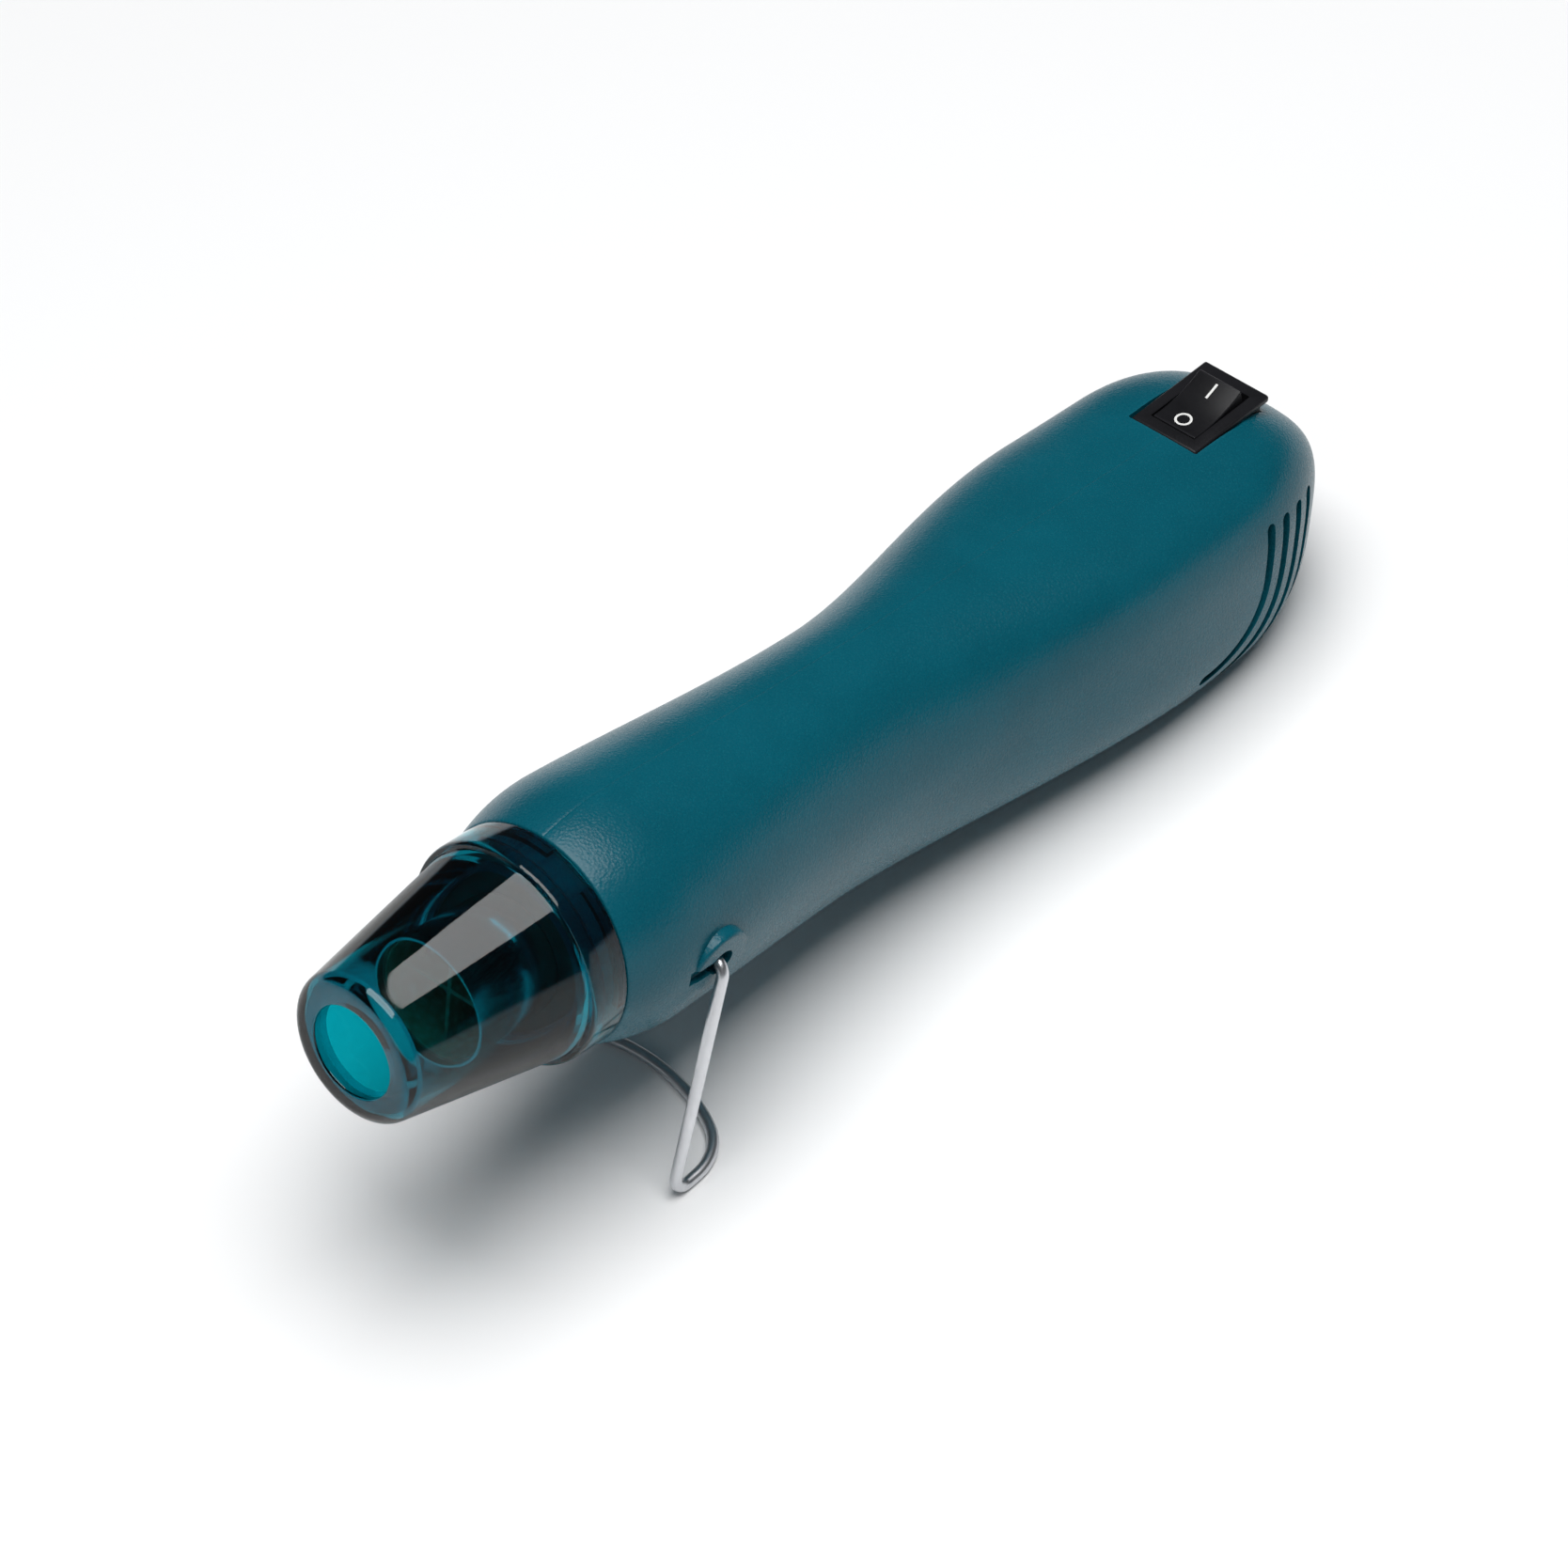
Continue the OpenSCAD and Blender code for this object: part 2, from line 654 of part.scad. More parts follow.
module wire_stand() {
  color([0.8, 0.81, 0.83]) translate(pivot_at) {
    tube_along(wire_path, wire_r - 0.01, wire_sides, [1, 0, 0]);
    rod_y(0, stub_in, 0, wire_r, leg_y - bend_r - stub_in);
    rod_y(0, bend_r - leg_y, 0, wire_r, leg_y - bend_r - stub_in);
  }
}

module switch_frame() {
  color([0.08, 0.08, 0.09]) place() at_switch() difference() {
    union() {
      translate([-flange_l / 2, -flange_w / 2, -flange_t]) cube([flange_l, flange_w, flange_t]);
      translate([-body_l / 2, -body_w / 2, -body_h]) cube([body_l, body_w, body_h - 0.5]);
    }
    translate([-cavity_l / 2, -cavity_w / 2, -cavity_h]) cube([cavity_l, cavity_w, 12]);
    rod_y(0, -10, rocker_z, stub_r + pivot_fit, 20);
    for (x = terminal_at) translate([x - 0.5, -2.5, -body_h - over]) cube([1, 5, 8]);
  }
}
// Terminals: the middle one ends just under the contact's ridge, the others where its ends come down
terminal_at = [-4.5, 0, 4.5];
terminal_t = 0.8;
terminal_out = 7;
ridge_r = 0.38;
end_drop = (terminal_at[2] + terminal_t / 2) * tan(abs(rest_angle * contact_ratio));
module switch_terminals() {
  color([0.8, 0.7, 0.45]) place() at_switch() for (x = terminal_at) {
    top = contact_z - pivot_fit - (x == 0 ? ridge_r : end_drop);
    translate([x - terminal_t / 2, -2.4, -body_h - terminal_out])
      cube([terminal_t, 4.8, top + body_h + terminal_out]);
  }
}
// Side outline of the rocker: hollow top and straight ends
module switch_rocker() {
  half = cavity_l / 2 - 1.1;
  end_z = 4.9;
  mid_z = 3.9;
  sag = end_z - mid_z;
  top_r = (half * half + sag * sag) / (2 * sag);
  top_turn = asin(half / top_r);
  color([0.09, 0.09, 0.1]) place() at_switch() translate([0, 0, rocker_z])
    rotate([0, rest_angle, 0]) {
      difference() {
        translate([0, rocker_w / 2, 0]) rotate([90, 0, 0]) linear_extrude(rocker_w) polygon(concat(
          [[-half, -1.8], [half, -1.8], [half, end_z]],
          [for (i = [1 : 11])
            let (a = top_turn * (1 - i / 6)) [top_r * sin(a), mid_z + top_r - top_r * cos(a)]],
          [[-half, end_z]]
        ));
        difference() {
          translate([-half + 1.2, -rocker_w / 2 + 1.2, -2.8])
            cube([2 * half - 2.4, rocker_w - 2.4, 5.4]);
          cylinder(r = 2, h = 12, center = true);
        }
        translate([0, 0, -4]) cylinder(r = 0.9, h = 5.5);
      }
      for (s = [0, 1]) mirror([0, s, 0])
        rod_y(0, rocker_w / 2 - 0.6, 0, stub_r, 1.6);
    }
}
plunger_tip = 2;
module switch_plunger() {
  color([0.85, 0.85, 0.87]) place() at_switch() translate([0, 0, rocker_z])
    rotate([0, rest_angle, 0]) {
      translate([0, 0, -plunger_tip]) cylinder(r = 0.8, h = plunger_tip + 1.3);
      translate([0, 0, -plunger_tip]) sphere(r = 0.8);
    }
}
// Contact: a blade that rocks on a round ridge under its middle
contact_w = 3.6;
contact_l = 9.8;
module switch_contact() {
  color([0.85, 0.6, 0.35]) place() at_switch() translate([0, 0, contact_z])
    rotate([0, rest_angle * contact_ratio, 0]) {
      translate([-contact_l / 2, -contact_w / 2, 0]) cube([contact_l, contact_w, 0.4]);
      rod_y(0, -contact_w / 2, 0, ridge_r, contact_w);
    }
}

module heater_tube() {
  color([0.8, 0.8, 0.82]) place() ring_x(tube_front, tube_r, tube_r - tube_wall, tube_l);
}
liner_r = tube_r - tube_wall - fit;
liner_t = 0.4;
module tube_liner() {
  color([0.86, 0.8, 0.66]) place() ring_x(tube_front + 2, liner_r, liner_r - liner_t, tube_l - 4);
}
former_x = tube_front + 6;
former_l = tube_l - 14;
former_t = 0.8;
former_end_r = liner_r - liner_t - fit;
coil_r = 9.6;
coil_wire_r = coil_wire_d / 2;
module former_plate() {
  half = coil_r - coil_wire_r - fit;
  end_l = 3;
  translate([former_x, -half, -former_t / 2]) cube([former_l, 2 * half, former_t]);
  for (x = [former_x, former_x + former_l - end_l])
    translate([x, -former_end_r, -former_t / 2]) cube([end_l, 2 * former_end_r, former_t]);
}
module mica_former() {
  color([0.82, 0.76, 0.62]) place() {
    former_plate();
    rotate([90, 0, 0]) former_plate();
  }
}
// Winding: one unbroken tube, with rings of six points that lie square to the path
coil_x = former_x + 5;
coil_pitch = (former_l - 10) / coil_turns;
coil_steps = 24;
coil_sides = 6;
function coil_point(i) =
  let (a = 360 * i / coil_steps)
  [coil_x + coil_pitch * i / coil_steps, coil_r * cos(a), coil_r * sin(a)];
function coil_ring(i) =
  let (
    a = 360 * i / coil_steps,
    out = [0, cos(a), sin(a)],
    run = [coil_pitch, -2 * PI * coil_r * sin(a), 2 * PI * coil_r * cos(a)],
    side = cross(run, out) / norm(run)
  )
  [for (k = [0 : coil_sides - 1])
    coil_point(i) + coil_wire_r * (cos(360 * k / coil_sides) * out + sin(360 * k / coil_sides) * side)];
coil_n = coil_turns * coil_steps;
coil_gap = min([for (i = [0 : coil_steps - 1], j = [coil_steps - 3 : coil_steps + 3])
  norm(coil_point(i) - coil_point(i + j))]) - coil_wire_d;
echo(coil_least_gap = coil_gap);
module heater_coil() {
  color([0.7, 0.66, 0.6]) place() polyhedron(
    points = [for (i = [0 : coil_n]) each coil_ring(i)],
    faces = concat(
      [for (i = [0 : coil_n - 1], k = [0 : coil_sides - 1])
        let (l = (k + 1) % coil_sides, a = i * coil_sides, b = a + coil_sides)
        each patch(a + k, a + l, b + l, b + k)],
      [for (k = [1 : coil_sides - 2]) [0, k + 1, k]],
      [for (k = [1 : coil_sides - 2])
        [coil_n * coil_sides, coil_n * coil_sides + k, coil_n * coil_sides + k + 1]]
    )
  );
}
module thermal_cutout() {
  r = 2;
  l = 10;
  color([0.78, 0.78, 0.8]) place()
    translate([0, 4, former_t / 2 + r + fit]) rod_x(former_x + former_l - 16, r, l);
}
module tube_collar() {
  front = cap_l - spigot_l + 1;
  color([0.3, 0.28, 0.26]) place() difference() {
    union() {
      rod_x(front, spigot_in - fit, seat_x - front + seat_t / 2);
      rod_x(seat_x, spigot_in + 1.6, seat_t);
    }
    rod_x(front - over, tube_r + fit, 30);
  }
}

module fan_duct() {
  color([0.2, 0.2, 0.21]) place() {
    difference() {
      about_x() polygon([
        [tube_r + 2, duct_x], [tube_r + 2, duct_throat], [duct_r, duct_bell],
        [duct_r, spider_x + spider_t], [duct_in, spider_x + spider_t], [duct_in, duct_bell],
        [tube_r - 0.4, duct_throat], [tube_r - 0.4, tube_back + fit],
        [tube_r + fit, tube_back + fit], [tube_r + fit, duct_x]
      ]);
    }
    difference() {
      union() {
        ring_x(spider_x, duct_in + 0.6, duct_in - 0.8, spider_t);
        rod_x(spider_x, screw_ring + 2.4, spider_t);
        for (i = [0 : 3]) rotate([45 + 90 * i, 0, 0])
          translate([spider_x, -1.5, 0]) cube([spider_t, 3, duct_in + 0.4]);
      }
      rod_x(spider_x - over, motor_boss_r + fit, spider_t + 2 * over);
      for (s = [-1, 1]) translate([0, 0, s * screw_ring])
        rod_x(spider_x - over, 1.2, spider_t + 2 * over);
    }
  }
}
// Fan: a hub with blades that follow an arc in the plane of axis and turning direction
blade_in = hub_r - 0.6;
function blade_side(r, s) = [for (i = [-4 : 4]) let (a = s * i * 5.5) [r * sin(a), r * cos(a)]];
module fan() {
  camber = 11;
  blade_t = 0.9;
  pitch = 38;
  middle = fan_x + fan_l / 2;
  color([0.88, 0.88, 0.86]) place() difference() {
    union() {
      rod_x(fan_x, hub_r, fan_l);
      intersection() {
        ring_x(fan_x, fan_r, blade_in, fan_l);
        for (i = [0 : blade_n - 1]) rotate([360 / blade_n * i, 0, 0])
          translate([middle, 0, 0]) rotate([0, 0, pitch]) translate([0, -camber + 0.5, 0])
            linear_extrude(fan_r + 1)
              polygon(concat(blade_side(camber, 1), blade_side(camber - blade_t, -1)));
      }
    }
    rod_x(fan_x - over, shaft_r + 0.02, fan_l + 2 * over);
  }
}
module motor_shaft() {
  color([0.8, 0.8, 0.82]) place() rod_x(fan_x, shaft_r, motor_end + shaft_out - fan_x);
}
module motor_can() {
  round_r = 1.5;
  color([0.72, 0.72, 0.74]) place() difference() {
    about_x() polygon(concat(
      [[0, motor_x - motor_boss_l], [motor_boss_r, motor_x - motor_boss_l], [motor_boss_r, motor_x]],
      [for (a = [0 : 22.5 : 90])
        [motor_r - round_r + round_r * sin(a), motor_x + round_r - round_r * cos(a)]],
      [[motor_r, motor_x + motor_l], [0, motor_x + motor_l]]
    ));
    rod_x(motor_x - motor_boss_l - over, shaft_r + pivot_fit, motor_l + 10);
    for (s = [-1, 1]) translate([0, 0, s * screw_ring]) rod_x(motor_x - over, 1, 5);
  }
}
module motor_screws() {
  color([0.75, 0.75, 0.78]) place() for (s = [-1, 1]) translate([0, 0, s * screw_ring]) {
    rod_x(spider_x - 1.3, 1.9, 1.3);
    rod_x(spider_x - over, 0.95, spider_t + over + 3.5);
  }
}
module motor_end_cap() {
  color([0.9, 0.9, 0.88]) place() difference() {
    union() {
      rod_x(motor_x + motor_l, motor_r - 0.6, end_cap_t);
      rod_x(motor_x + motor_l, 3.6, end_cap_t + 1.5);
    }
    rod_x(motor_x + motor_l - over, shaft_r + pivot_fit, 10);
    for (s = [-1, 1]) translate([motor_end - 2, s * 7 - 0.3, -1.4]) cube([5, 0.6, 2.8]);
  }
}
module motor_terminals() {
  color([0.8, 0.7, 0.45]) place() for (s = [-1, 1])
    translate([motor_end - 1.9, s * 7 - 0.25, -1.3]) cube([6, 0.5, 2.6]);
}

module rectifier_board() {
  color([0.25, 0.5, 0.25]) place() difference() {
    translate([board_x, -board_w / 2, board_z - board_t / 2]) cube([board_l, board_w, board_t]);
    for (x = [3, board_l - 3], s = [-1, 1])
      translate([board_x + x, s * 10, board_z - 5]) cylinder(r = 1.1, h = 10, $fn = 24);
  }
}
diode_r = 1.35;
board_top = board_z + board_t / 2;
module rectifier_diodes() {
  color([0.1, 0.1, 0.11]) place() for (i = [0 : 3])
    translate([board_x + 4 + 4.2 * i, 0, board_top + diode_r + fit]) {
      rod_y(0, -2.6, 0, diode_r, 5.2);
      rod_y(0, -4.6, 0, 0.4, 9.2);
      for (s = [-1, 1]) translate([0, s * 4.1, -diode_r]) cylinder(r = 0.36, h = diode_r);
    }
}
module suppressor_capacitor() {
  color([0.75, 0.6, 0.2]) place()
    translate([board_x + board_l - 10, -9, board_top + fit]) cube([7.5, 18, 13]);
}

module cord_gland() {
  inner_x = gland_x - 5.3;
  color([0.06, 0.06, 0.07]) place() translate([0, 0, tail_mid]) difference() {
    union() {
      rod_x(inner_x, gland_r, 2.5);
      rod_x(inner_x, inlet_r + 1.5, gland_x + 2 - inner_x);
      rod_x(gland_x, gland_r, 2);
    }
    rod_x(inner_x - over, inlet_r, 12);
  }
}
module cord_clamp() {
  color([0.8, 0.8, 0.78]) place() difference() {
    translate([clamp_x - 3, clamp_y + fit, tail_mid - clamp_gap - 3])
      cube([6, 3.5, 2 * clamp_gap + 6]);
    translate([0, 0, tail_mid]) rod_x(clamp_x - 5, inlet_r, 10);
    for (s = [-1, 1]) rod_y(clamp_x, 0, tail_mid + s * clamp_gap, screw_r + 0.4, 10);
  }
}
module clamp_screws() {
  top = clamp_y + fit + 3.5 + fit;
  color([0.75, 0.75, 0.78]) place() for (s = [-1, 1]) {
    rod_y(clamp_x, top, tail_mid + s * clamp_gap, 2.3, 1.8);
    rod_y(clamp_x, top - 10, tail_mid + s * clamp_gap, screw_r, 10 + over);
  }
}

left_shell();
right_shell();
nozzle_cap();
wire_stand();
switch_frame();
switch_rocker();
switch_contact();
switch_plunger();
switch_terminals();
housing_screws();
heater_tube();
tube_liner();
mica_former();
heater_coil();
thermal_cutout();
tube_collar();
motor_can();
motor_end_cap();
motor_terminals();
motor_shaft();
motor_screws();
fan();
fan_duct();
rectifier_board();
rectifier_diodes();
suppressor_capacitor();
cord_gland();
cord_clamp();
clamp_screws();
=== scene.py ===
# Looks of an embossing heat tool on its folding wire stand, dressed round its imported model.
# Shapes are worked out in millimetres in the tool's own frame: X runs from the nozzle rim to the
# tail, Z is up and Y = 0 is the parting plane. They are then carried into the frame, in metres.
import json
import math
from math import cos, pi, radians, sin, sqrt

import bmesh
import bpy
from mathutils import Matrix, Vector

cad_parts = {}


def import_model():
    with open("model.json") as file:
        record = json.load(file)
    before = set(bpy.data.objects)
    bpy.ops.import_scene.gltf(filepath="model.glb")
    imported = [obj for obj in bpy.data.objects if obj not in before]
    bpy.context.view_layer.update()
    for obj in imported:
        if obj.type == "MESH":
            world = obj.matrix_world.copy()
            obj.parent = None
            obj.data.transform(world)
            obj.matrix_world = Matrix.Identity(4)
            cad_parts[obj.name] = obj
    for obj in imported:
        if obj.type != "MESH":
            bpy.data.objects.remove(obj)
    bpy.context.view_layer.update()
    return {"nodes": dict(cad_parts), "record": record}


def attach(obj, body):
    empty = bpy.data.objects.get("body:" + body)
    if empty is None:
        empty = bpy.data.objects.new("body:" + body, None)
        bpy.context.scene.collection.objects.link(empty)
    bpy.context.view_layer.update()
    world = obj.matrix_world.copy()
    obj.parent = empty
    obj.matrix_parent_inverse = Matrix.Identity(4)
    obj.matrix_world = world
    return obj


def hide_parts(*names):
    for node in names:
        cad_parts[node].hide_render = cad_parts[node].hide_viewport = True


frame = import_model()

MM = 0.001
NODES = frame["nodes"]

# The tool's tilt and place, from the record's air outlet
outlet = next(m for m in frame["record"]["mounts"] if m["name"] == "nozzle_outlet")
OUTLET_MID = 1.7
axis_out = Vector(outlet["axis"])
tilt = math.atan2(axis_out.z, -axis_out.x)
turn_down = Matrix.Rotation(tilt, 4, "Y")
origin = Vector(outlet["pos_m"]) - turn_down @ Vector((OUTLET_MID * MM, 0, 0))
TOOL = Matrix.Translation(origin) @ turn_down @ Matrix.Scale(MM, 4)

# Lengths of the body
CAP_L, BARREL_L, GRIP_L, TAIL_L = 44.0, 77.0, 68.4, 50.6
DOME_L, SWELL_L = 32.3, 15.8
WAIST_X = CAP_L + BARREL_L
HANDLE_X = WAIST_X + GRIP_L
TAIL_X = HANDLE_X + TAIL_L
DOME_X = TAIL_X - DOME_L
SHOULDER_X = CAP_L + 2
NOSE_R = 20.9
SEAM, PARTING_GAP = 0.2, 0.015
SHELL_FRONT, FRONT_ROUND = CAP_L + SEAM, 0.3
WALL = 2.2

# Section of the body at the shoulder, waist, handle and tail
WIDTHS = (24.0, 19.3, 25.1, 22.9)
UPS = (24.0, 23.9, 21.6, 23.1)
DOWNS = (23.9, 25.2, 24.8, 23.9)
MIDS = (-0.5, -1.9, 1.4, 3.1)
FULL_UP, FULL_DOWN, FULL_TAIL = 3.5, 3.34, 2.14
LEAD_UP, LEAD_DOWN = 0.0, 20.0
TAIL_MID = MIDS[3]

# Fineness of the body's mesh: steps round half a section, outside and inside, and the dome's
# last angle; and the depth of the groove along the parting line
SKIN_STEPS, CORE_STEPS, DOME_LAST, GROOVE_DEPTH = 72, 48, 83, 0.07

# Nozzle cap and its mounting
RIM_R, RIM_ROUND, CONE_R, COLLAR_L, CAP_WALL = 13.7, 2.6, 19.6, 8.1, 1.8
OUTLET_R, OUTLET_T = 8.65, 3.0
STEP_X = CAP_L - COLLAR_L
STEP_R = CONE_R + 0.8
SLOPE = math.atan((CONE_R - RIM_R) / STEP_X)
SPIGOT_R = NOSE_R - 2.4
SPIGOT_IN = SPIGOT_R - 2.2
SPIGOT_L = CAP_L - STEP_X - 1
COLLAR_IN = SPIGOT_R + 0.3
LUG_N, LUG_TURN, LUG_X, LUG_L = 4, 22, STEP_X + 3.6, 2.5
LUG_R = SPIGOT_R + 1.1
TONGUE_X = STEP_X + 1.6
NOTCH_HALF = 42

# Stand
WIRE_R, LEG_L, LEG_LEAN, LEG_Y = 1.1, 47.4, 21.8, 24.7
FOOT_L, FOOT_R, CORNER_R, BEND_R = 20.6, 40.0, 11.0, 2.75
PIVOT_X, PIVOT_Z = CAP_L + 20.3, -3.4
BOSS_R, BOSS_Y, BOSS_L, BOSS_SLANT, BOSS_ROUND = 6.4, 23.8, 7.4, 13, 0.7
BOSS = (
    Matrix.Translation((PIVOT_X, BOSS_Y, PIVOT_Z)) @ Matrix.Rotation(radians(-BOSS_SLANT), 4, "X")
)
GROOVE_SUNK, GROOVE_HALF, MOUTH_SUNK, MOUTH_R = 1.3, 1.5, 1.8, 2.6

# Air slots
SLOT_N, SLOT_W, SLOT_R, SLOT_PITCH = 4, 2.4, 16.0, 5.0
SLOT_X, SLOT_Z, SLOT_UP, SLOT_DOWN = TAIL_X - 47, 3.5, 9.8, 21.5
SLOT_LOWER_BY, SLOT_LAST = 0.3, 87

# Switch
FLANGE_L, FLANGE_W, FLANGE_T = 21.0, 15.0, 1.5
SWITCH_BACK, SWITCH_Z, SWITCH_TILT = 24.2, 24.8, 6.9
SWITCH = (
    Matrix.Translation((TAIL_X - SWITCH_BACK, 0, SWITCH_Z))
    @ Matrix.Rotation(radians(-SWITCH_TILT), 4, "Y")
)
HOUSING_L, HOUSING_W, HOUSING_H = FLANGE_L - 2.2, FLANGE_W - 2.1, 12.0
CAVITY_L, CAVITY_W, CAVITY_H = HOUSING_L - 3.2, HOUSING_W - 2.7, 8.0
TERMINAL_AT = (-4.5, 0, 4.5)
ROCKER_W, ROCKER_Z, ROCKER_REST = CAVITY_W - 0.5, -3.5, -11.0
STUB_R = 1.2
ROCKER = (
    SWITCH @ Matrix.Translation((0, 0, ROCKER_Z)) @ Matrix.Rotation(radians(ROCKER_REST), 4, "Y")
)
ROCKER_HALF = CAVITY_L / 2 - 1.1
ROCKER_END_Z, ROCKER_MID_Z = 4.9, 3.9
ROCKER_SAG = ROCKER_END_Z - ROCKER_MID_Z
ROCKER_TOP_R = (ROCKER_HALF ** 2 + ROCKER_SAG ** 2) / (2 * ROCKER_SAG)

# Printed marks: place along the rocker, height over it and depth in it, and sizes
MARK_X, MARK_T, MARK_SUNK = 4.0, 0.05, 0.03
BAR_L, BAR_W = 3.3, 0.48
RING_R, RING_STROKE = 1.65, 0.46

# Screws as pairs of place and height
MOTOR_END = 126.5
SCREWS = (
    (MOTOR_END + 7.5, 7.5), (MOTOR_END + 7.5, -19),
    (HANDLE_X + 2.6, 13), (HANDLE_X - 11.4, -15.5),
)
POST_R, WELL_R, WELL_Y, WELL_WALL, SCREW_R = 4.6, 3.4, 6.0, 1.6, 1.25

# Cord opening and the seat of its bush
INLET_R, BUSH_R = 4.75, 6.5


# Solids in the tool's frame

def solid(name, points, faces, matrix=None):
    """A closed mesh from points and faces, with its faces turned outwards."""
    bm = bmesh.new()
    verts = [bm.verts.new(matrix @ Vector(p) if matrix else p) for p in points]
    for f in faces:
        bm.faces.new([verts[i] for i in f])
    bmesh.ops.recalc_face_normals(bm, faces=bm.faces)
    return from_bmesh(name, bm)


def from_bmesh(name, bm):
    """An object in the scene from a bmesh, which is used up."""
    mesh = bpy.data.meshes.new(name)
    bm.to_mesh(mesh)
    bm.free()
    obj = bpy.data.objects.new(name, mesh)
    bpy.context.scene.collection.objects.link(obj)
    return obj


def box(name, low, high, matrix=None, round_r=0.0, steps=3):
    """A box between two corners, with rounded edges."""
    bm = bmesh.new()
    bmesh.ops.create_cube(bm, size=1)
    size = Vector(high) - Vector(low)
    middle = (Vector(high) + Vector(low)) / 2
    place = Matrix.Translation(middle) @ Matrix.Diagonal((*size, 1))
    bmesh.ops.transform(bm, verts=bm.verts, matrix=place)
    if round_r:
        bmesh.ops.bevel(
            bm, geom=bm.edges[:], offset=round_r, segments=steps, profile=0.5, affect="EDGES"
        )
    if matrix:
        bmesh.ops.transform(bm, verts=bm.verts, matrix=matrix)
    return from_bmesh(name, bm)


def extruded(name, outline, low, high):
    """An outline of points in X and Z, extruded along Y from low to high."""
    n = len(outline)
    points = [(x, y, z) for y in (low, high) for x, z in outline]
    sides = [(i, (i + 1) % n, n + (i + 1) % n, n + i) for i in range(n)]
    return solid(name, points, sides + [tuple(range(n)), tuple(range(n, 2 * n))])


def rod(name, start, direction, r, length, matrix=None, sides=64):
    """A straight round bar from start along direction."""
    to_axis = Vector((0, 0, 1)).rotation_difference(Vector(direction)).to_matrix().to_4x4()
    place = Matrix.Translation(start) @ to_axis
    points = [
        (r * cos(2 * pi * k / sides), r * sin(2 * pi * k / sides), z)
        for z in (0, length) for k in range(sides)
    ]
    faces = [(k, (k + 1) % sides, sides + (k + 1) % sides, sides + k) for k in range(sides)]
    faces += [tuple(range(sides)), tuple(range(sides, 2 * sides))]
    return solid(name, points, faces, (matrix @ place) if matrix else place)


def turned(name, profile, sides=192, a=None, b=None):
    """A closed profile of (x, radius) turned about X, whole or from a to b; 0 is down, 90 is +Y."""
    whole = a is None
    start = 0 if whole else radians(a)
    sweep = 2 * pi if whole else radians(b - a)
    rows = sides if whole else sides + 1
    n = len(profile)
    points = [
        (x, r * sin(start + sweep * i / sides), -r * cos(start + sweep * i / sides))
        for i in range(rows) for x, r in profile
    ]
    faces = [
        (i * n + j, i * n + (j + 1) % n, (i + 1) % rows * n + (j + 1) % n, (i + 1) % rows * n + j)
        for i in range(sides) for j in range(n)
    ]
    if not whole:
        faces += [tuple(range(n)), tuple(range((rows - 1) * n, rows * n))]
    return solid(name, points, faces)


def rounded_ring(x, r_in, r_out, length, e=0.2):
    """Profile of a ring whose outer edges are rounded."""
    corner = [(e * (1 - cos(t * pi / 6)), e * (1 - sin(t * pi / 6))) for t in range(4)]
    front = [(x + dx, r_out - dr) for dx, dr in corner]
    back = [(x + length - dx, r_out - dr) for dx, dr in reversed(corner)]
    return [(x, r_in)] + front + back + [(x + length, r_in)]


def joined(name, objs):
    """One object from several solids that lie apart."""
    bm = bmesh.new()
    for o in objs:
        bm.from_mesh(o.data)
        bpy.data.objects.remove(o)
    return from_bmesh(name, bm)


def worked(obj, steps):
    """obj after a list of (operation, other solid), which are used up."""
    for operation, other in steps:
        mod = obj.modifiers.new(operation.lower(), "BOOLEAN")
        mod.operation = operation
        mod.solver = "MANIFOLD"
        mod.object = other
    bpy.context.view_layer.update()
    graph = bpy.context.evaluated_depsgraph_get()
    mesh = bpy.data.meshes.new_from_object(obj.evaluated_get(graph))
    obj.modifiers.clear()
    obj.data = mesh
    for _, other in steps:
        bpy.data.objects.remove(other)
    return obj


def mirrored(obj):
    """The same mesh on the other side of the parting plane."""
    obj.data.transform(Matrix.Scale(-1, 4, (0, 1, 0)))
    obj.data.flip_normals()
    return obj


def finish_piece(obj, node, body, slot_name, sharp=32, matrix=TOOL):
    """Carries a solid into the frame, smooths its curves and lets it stand for its node."""
    obj.data.transform(matrix)
    for p in obj.data.polygons:
        p.use_smooth = True
    obj.data.set_sharp_from_angle(angle=radians(sharp))
    obj.data.materials.clear()
    obj.data.materials.append(MATERIALS[slot_name])
    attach(obj, body)
    if node:
        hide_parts(node)


# The body's skin

def mix(a, b, t):
    return a + (b - a) * t


def steps_between(a, b, n):
    return [mix(a, b, i / n) for i in range(n + 1)]


def ease(t):
    """A smooth step from 0 to 1."""
    return (1 - cos(pi * min(1, max(0, t)))) / 2


def along(x, v):
    """A size at x from its values at the shoulder, waist, handle and tail."""
    if x < WAIST_X:
        return mix(v[0], v[1], ease((x - SHOULDER_X) / (WAIST_X - SHOULDER_X)))
    if x < HANDLE_X:
        return mix(v[1], v[2], ease((x - WAIST_X) / GRIP_L))
    return mix(v[2], v[3], ease((x - HANDLE_X) / TAIL_L))


def swell(x):
    """1 at the round nose, and 0 where the shoulder is full."""
    return (1 - min(1, max(0, (x - CAP_L) / SWELL_L))) ** 2


def radius_at(x, v):
    return along(x, v) - (v[0] - NOSE_R) * swell(x)


def mid_at(x):
    return along(x, MIDS) - MIDS[0] * swell(x)


def fullness(x, top, lead):
    """Exponent of the section: 2 is an ellipse, and more is squarer."""
    return mix(2, top, ease((x - WAIST_X + lead) / (GRIP_L + lead)))


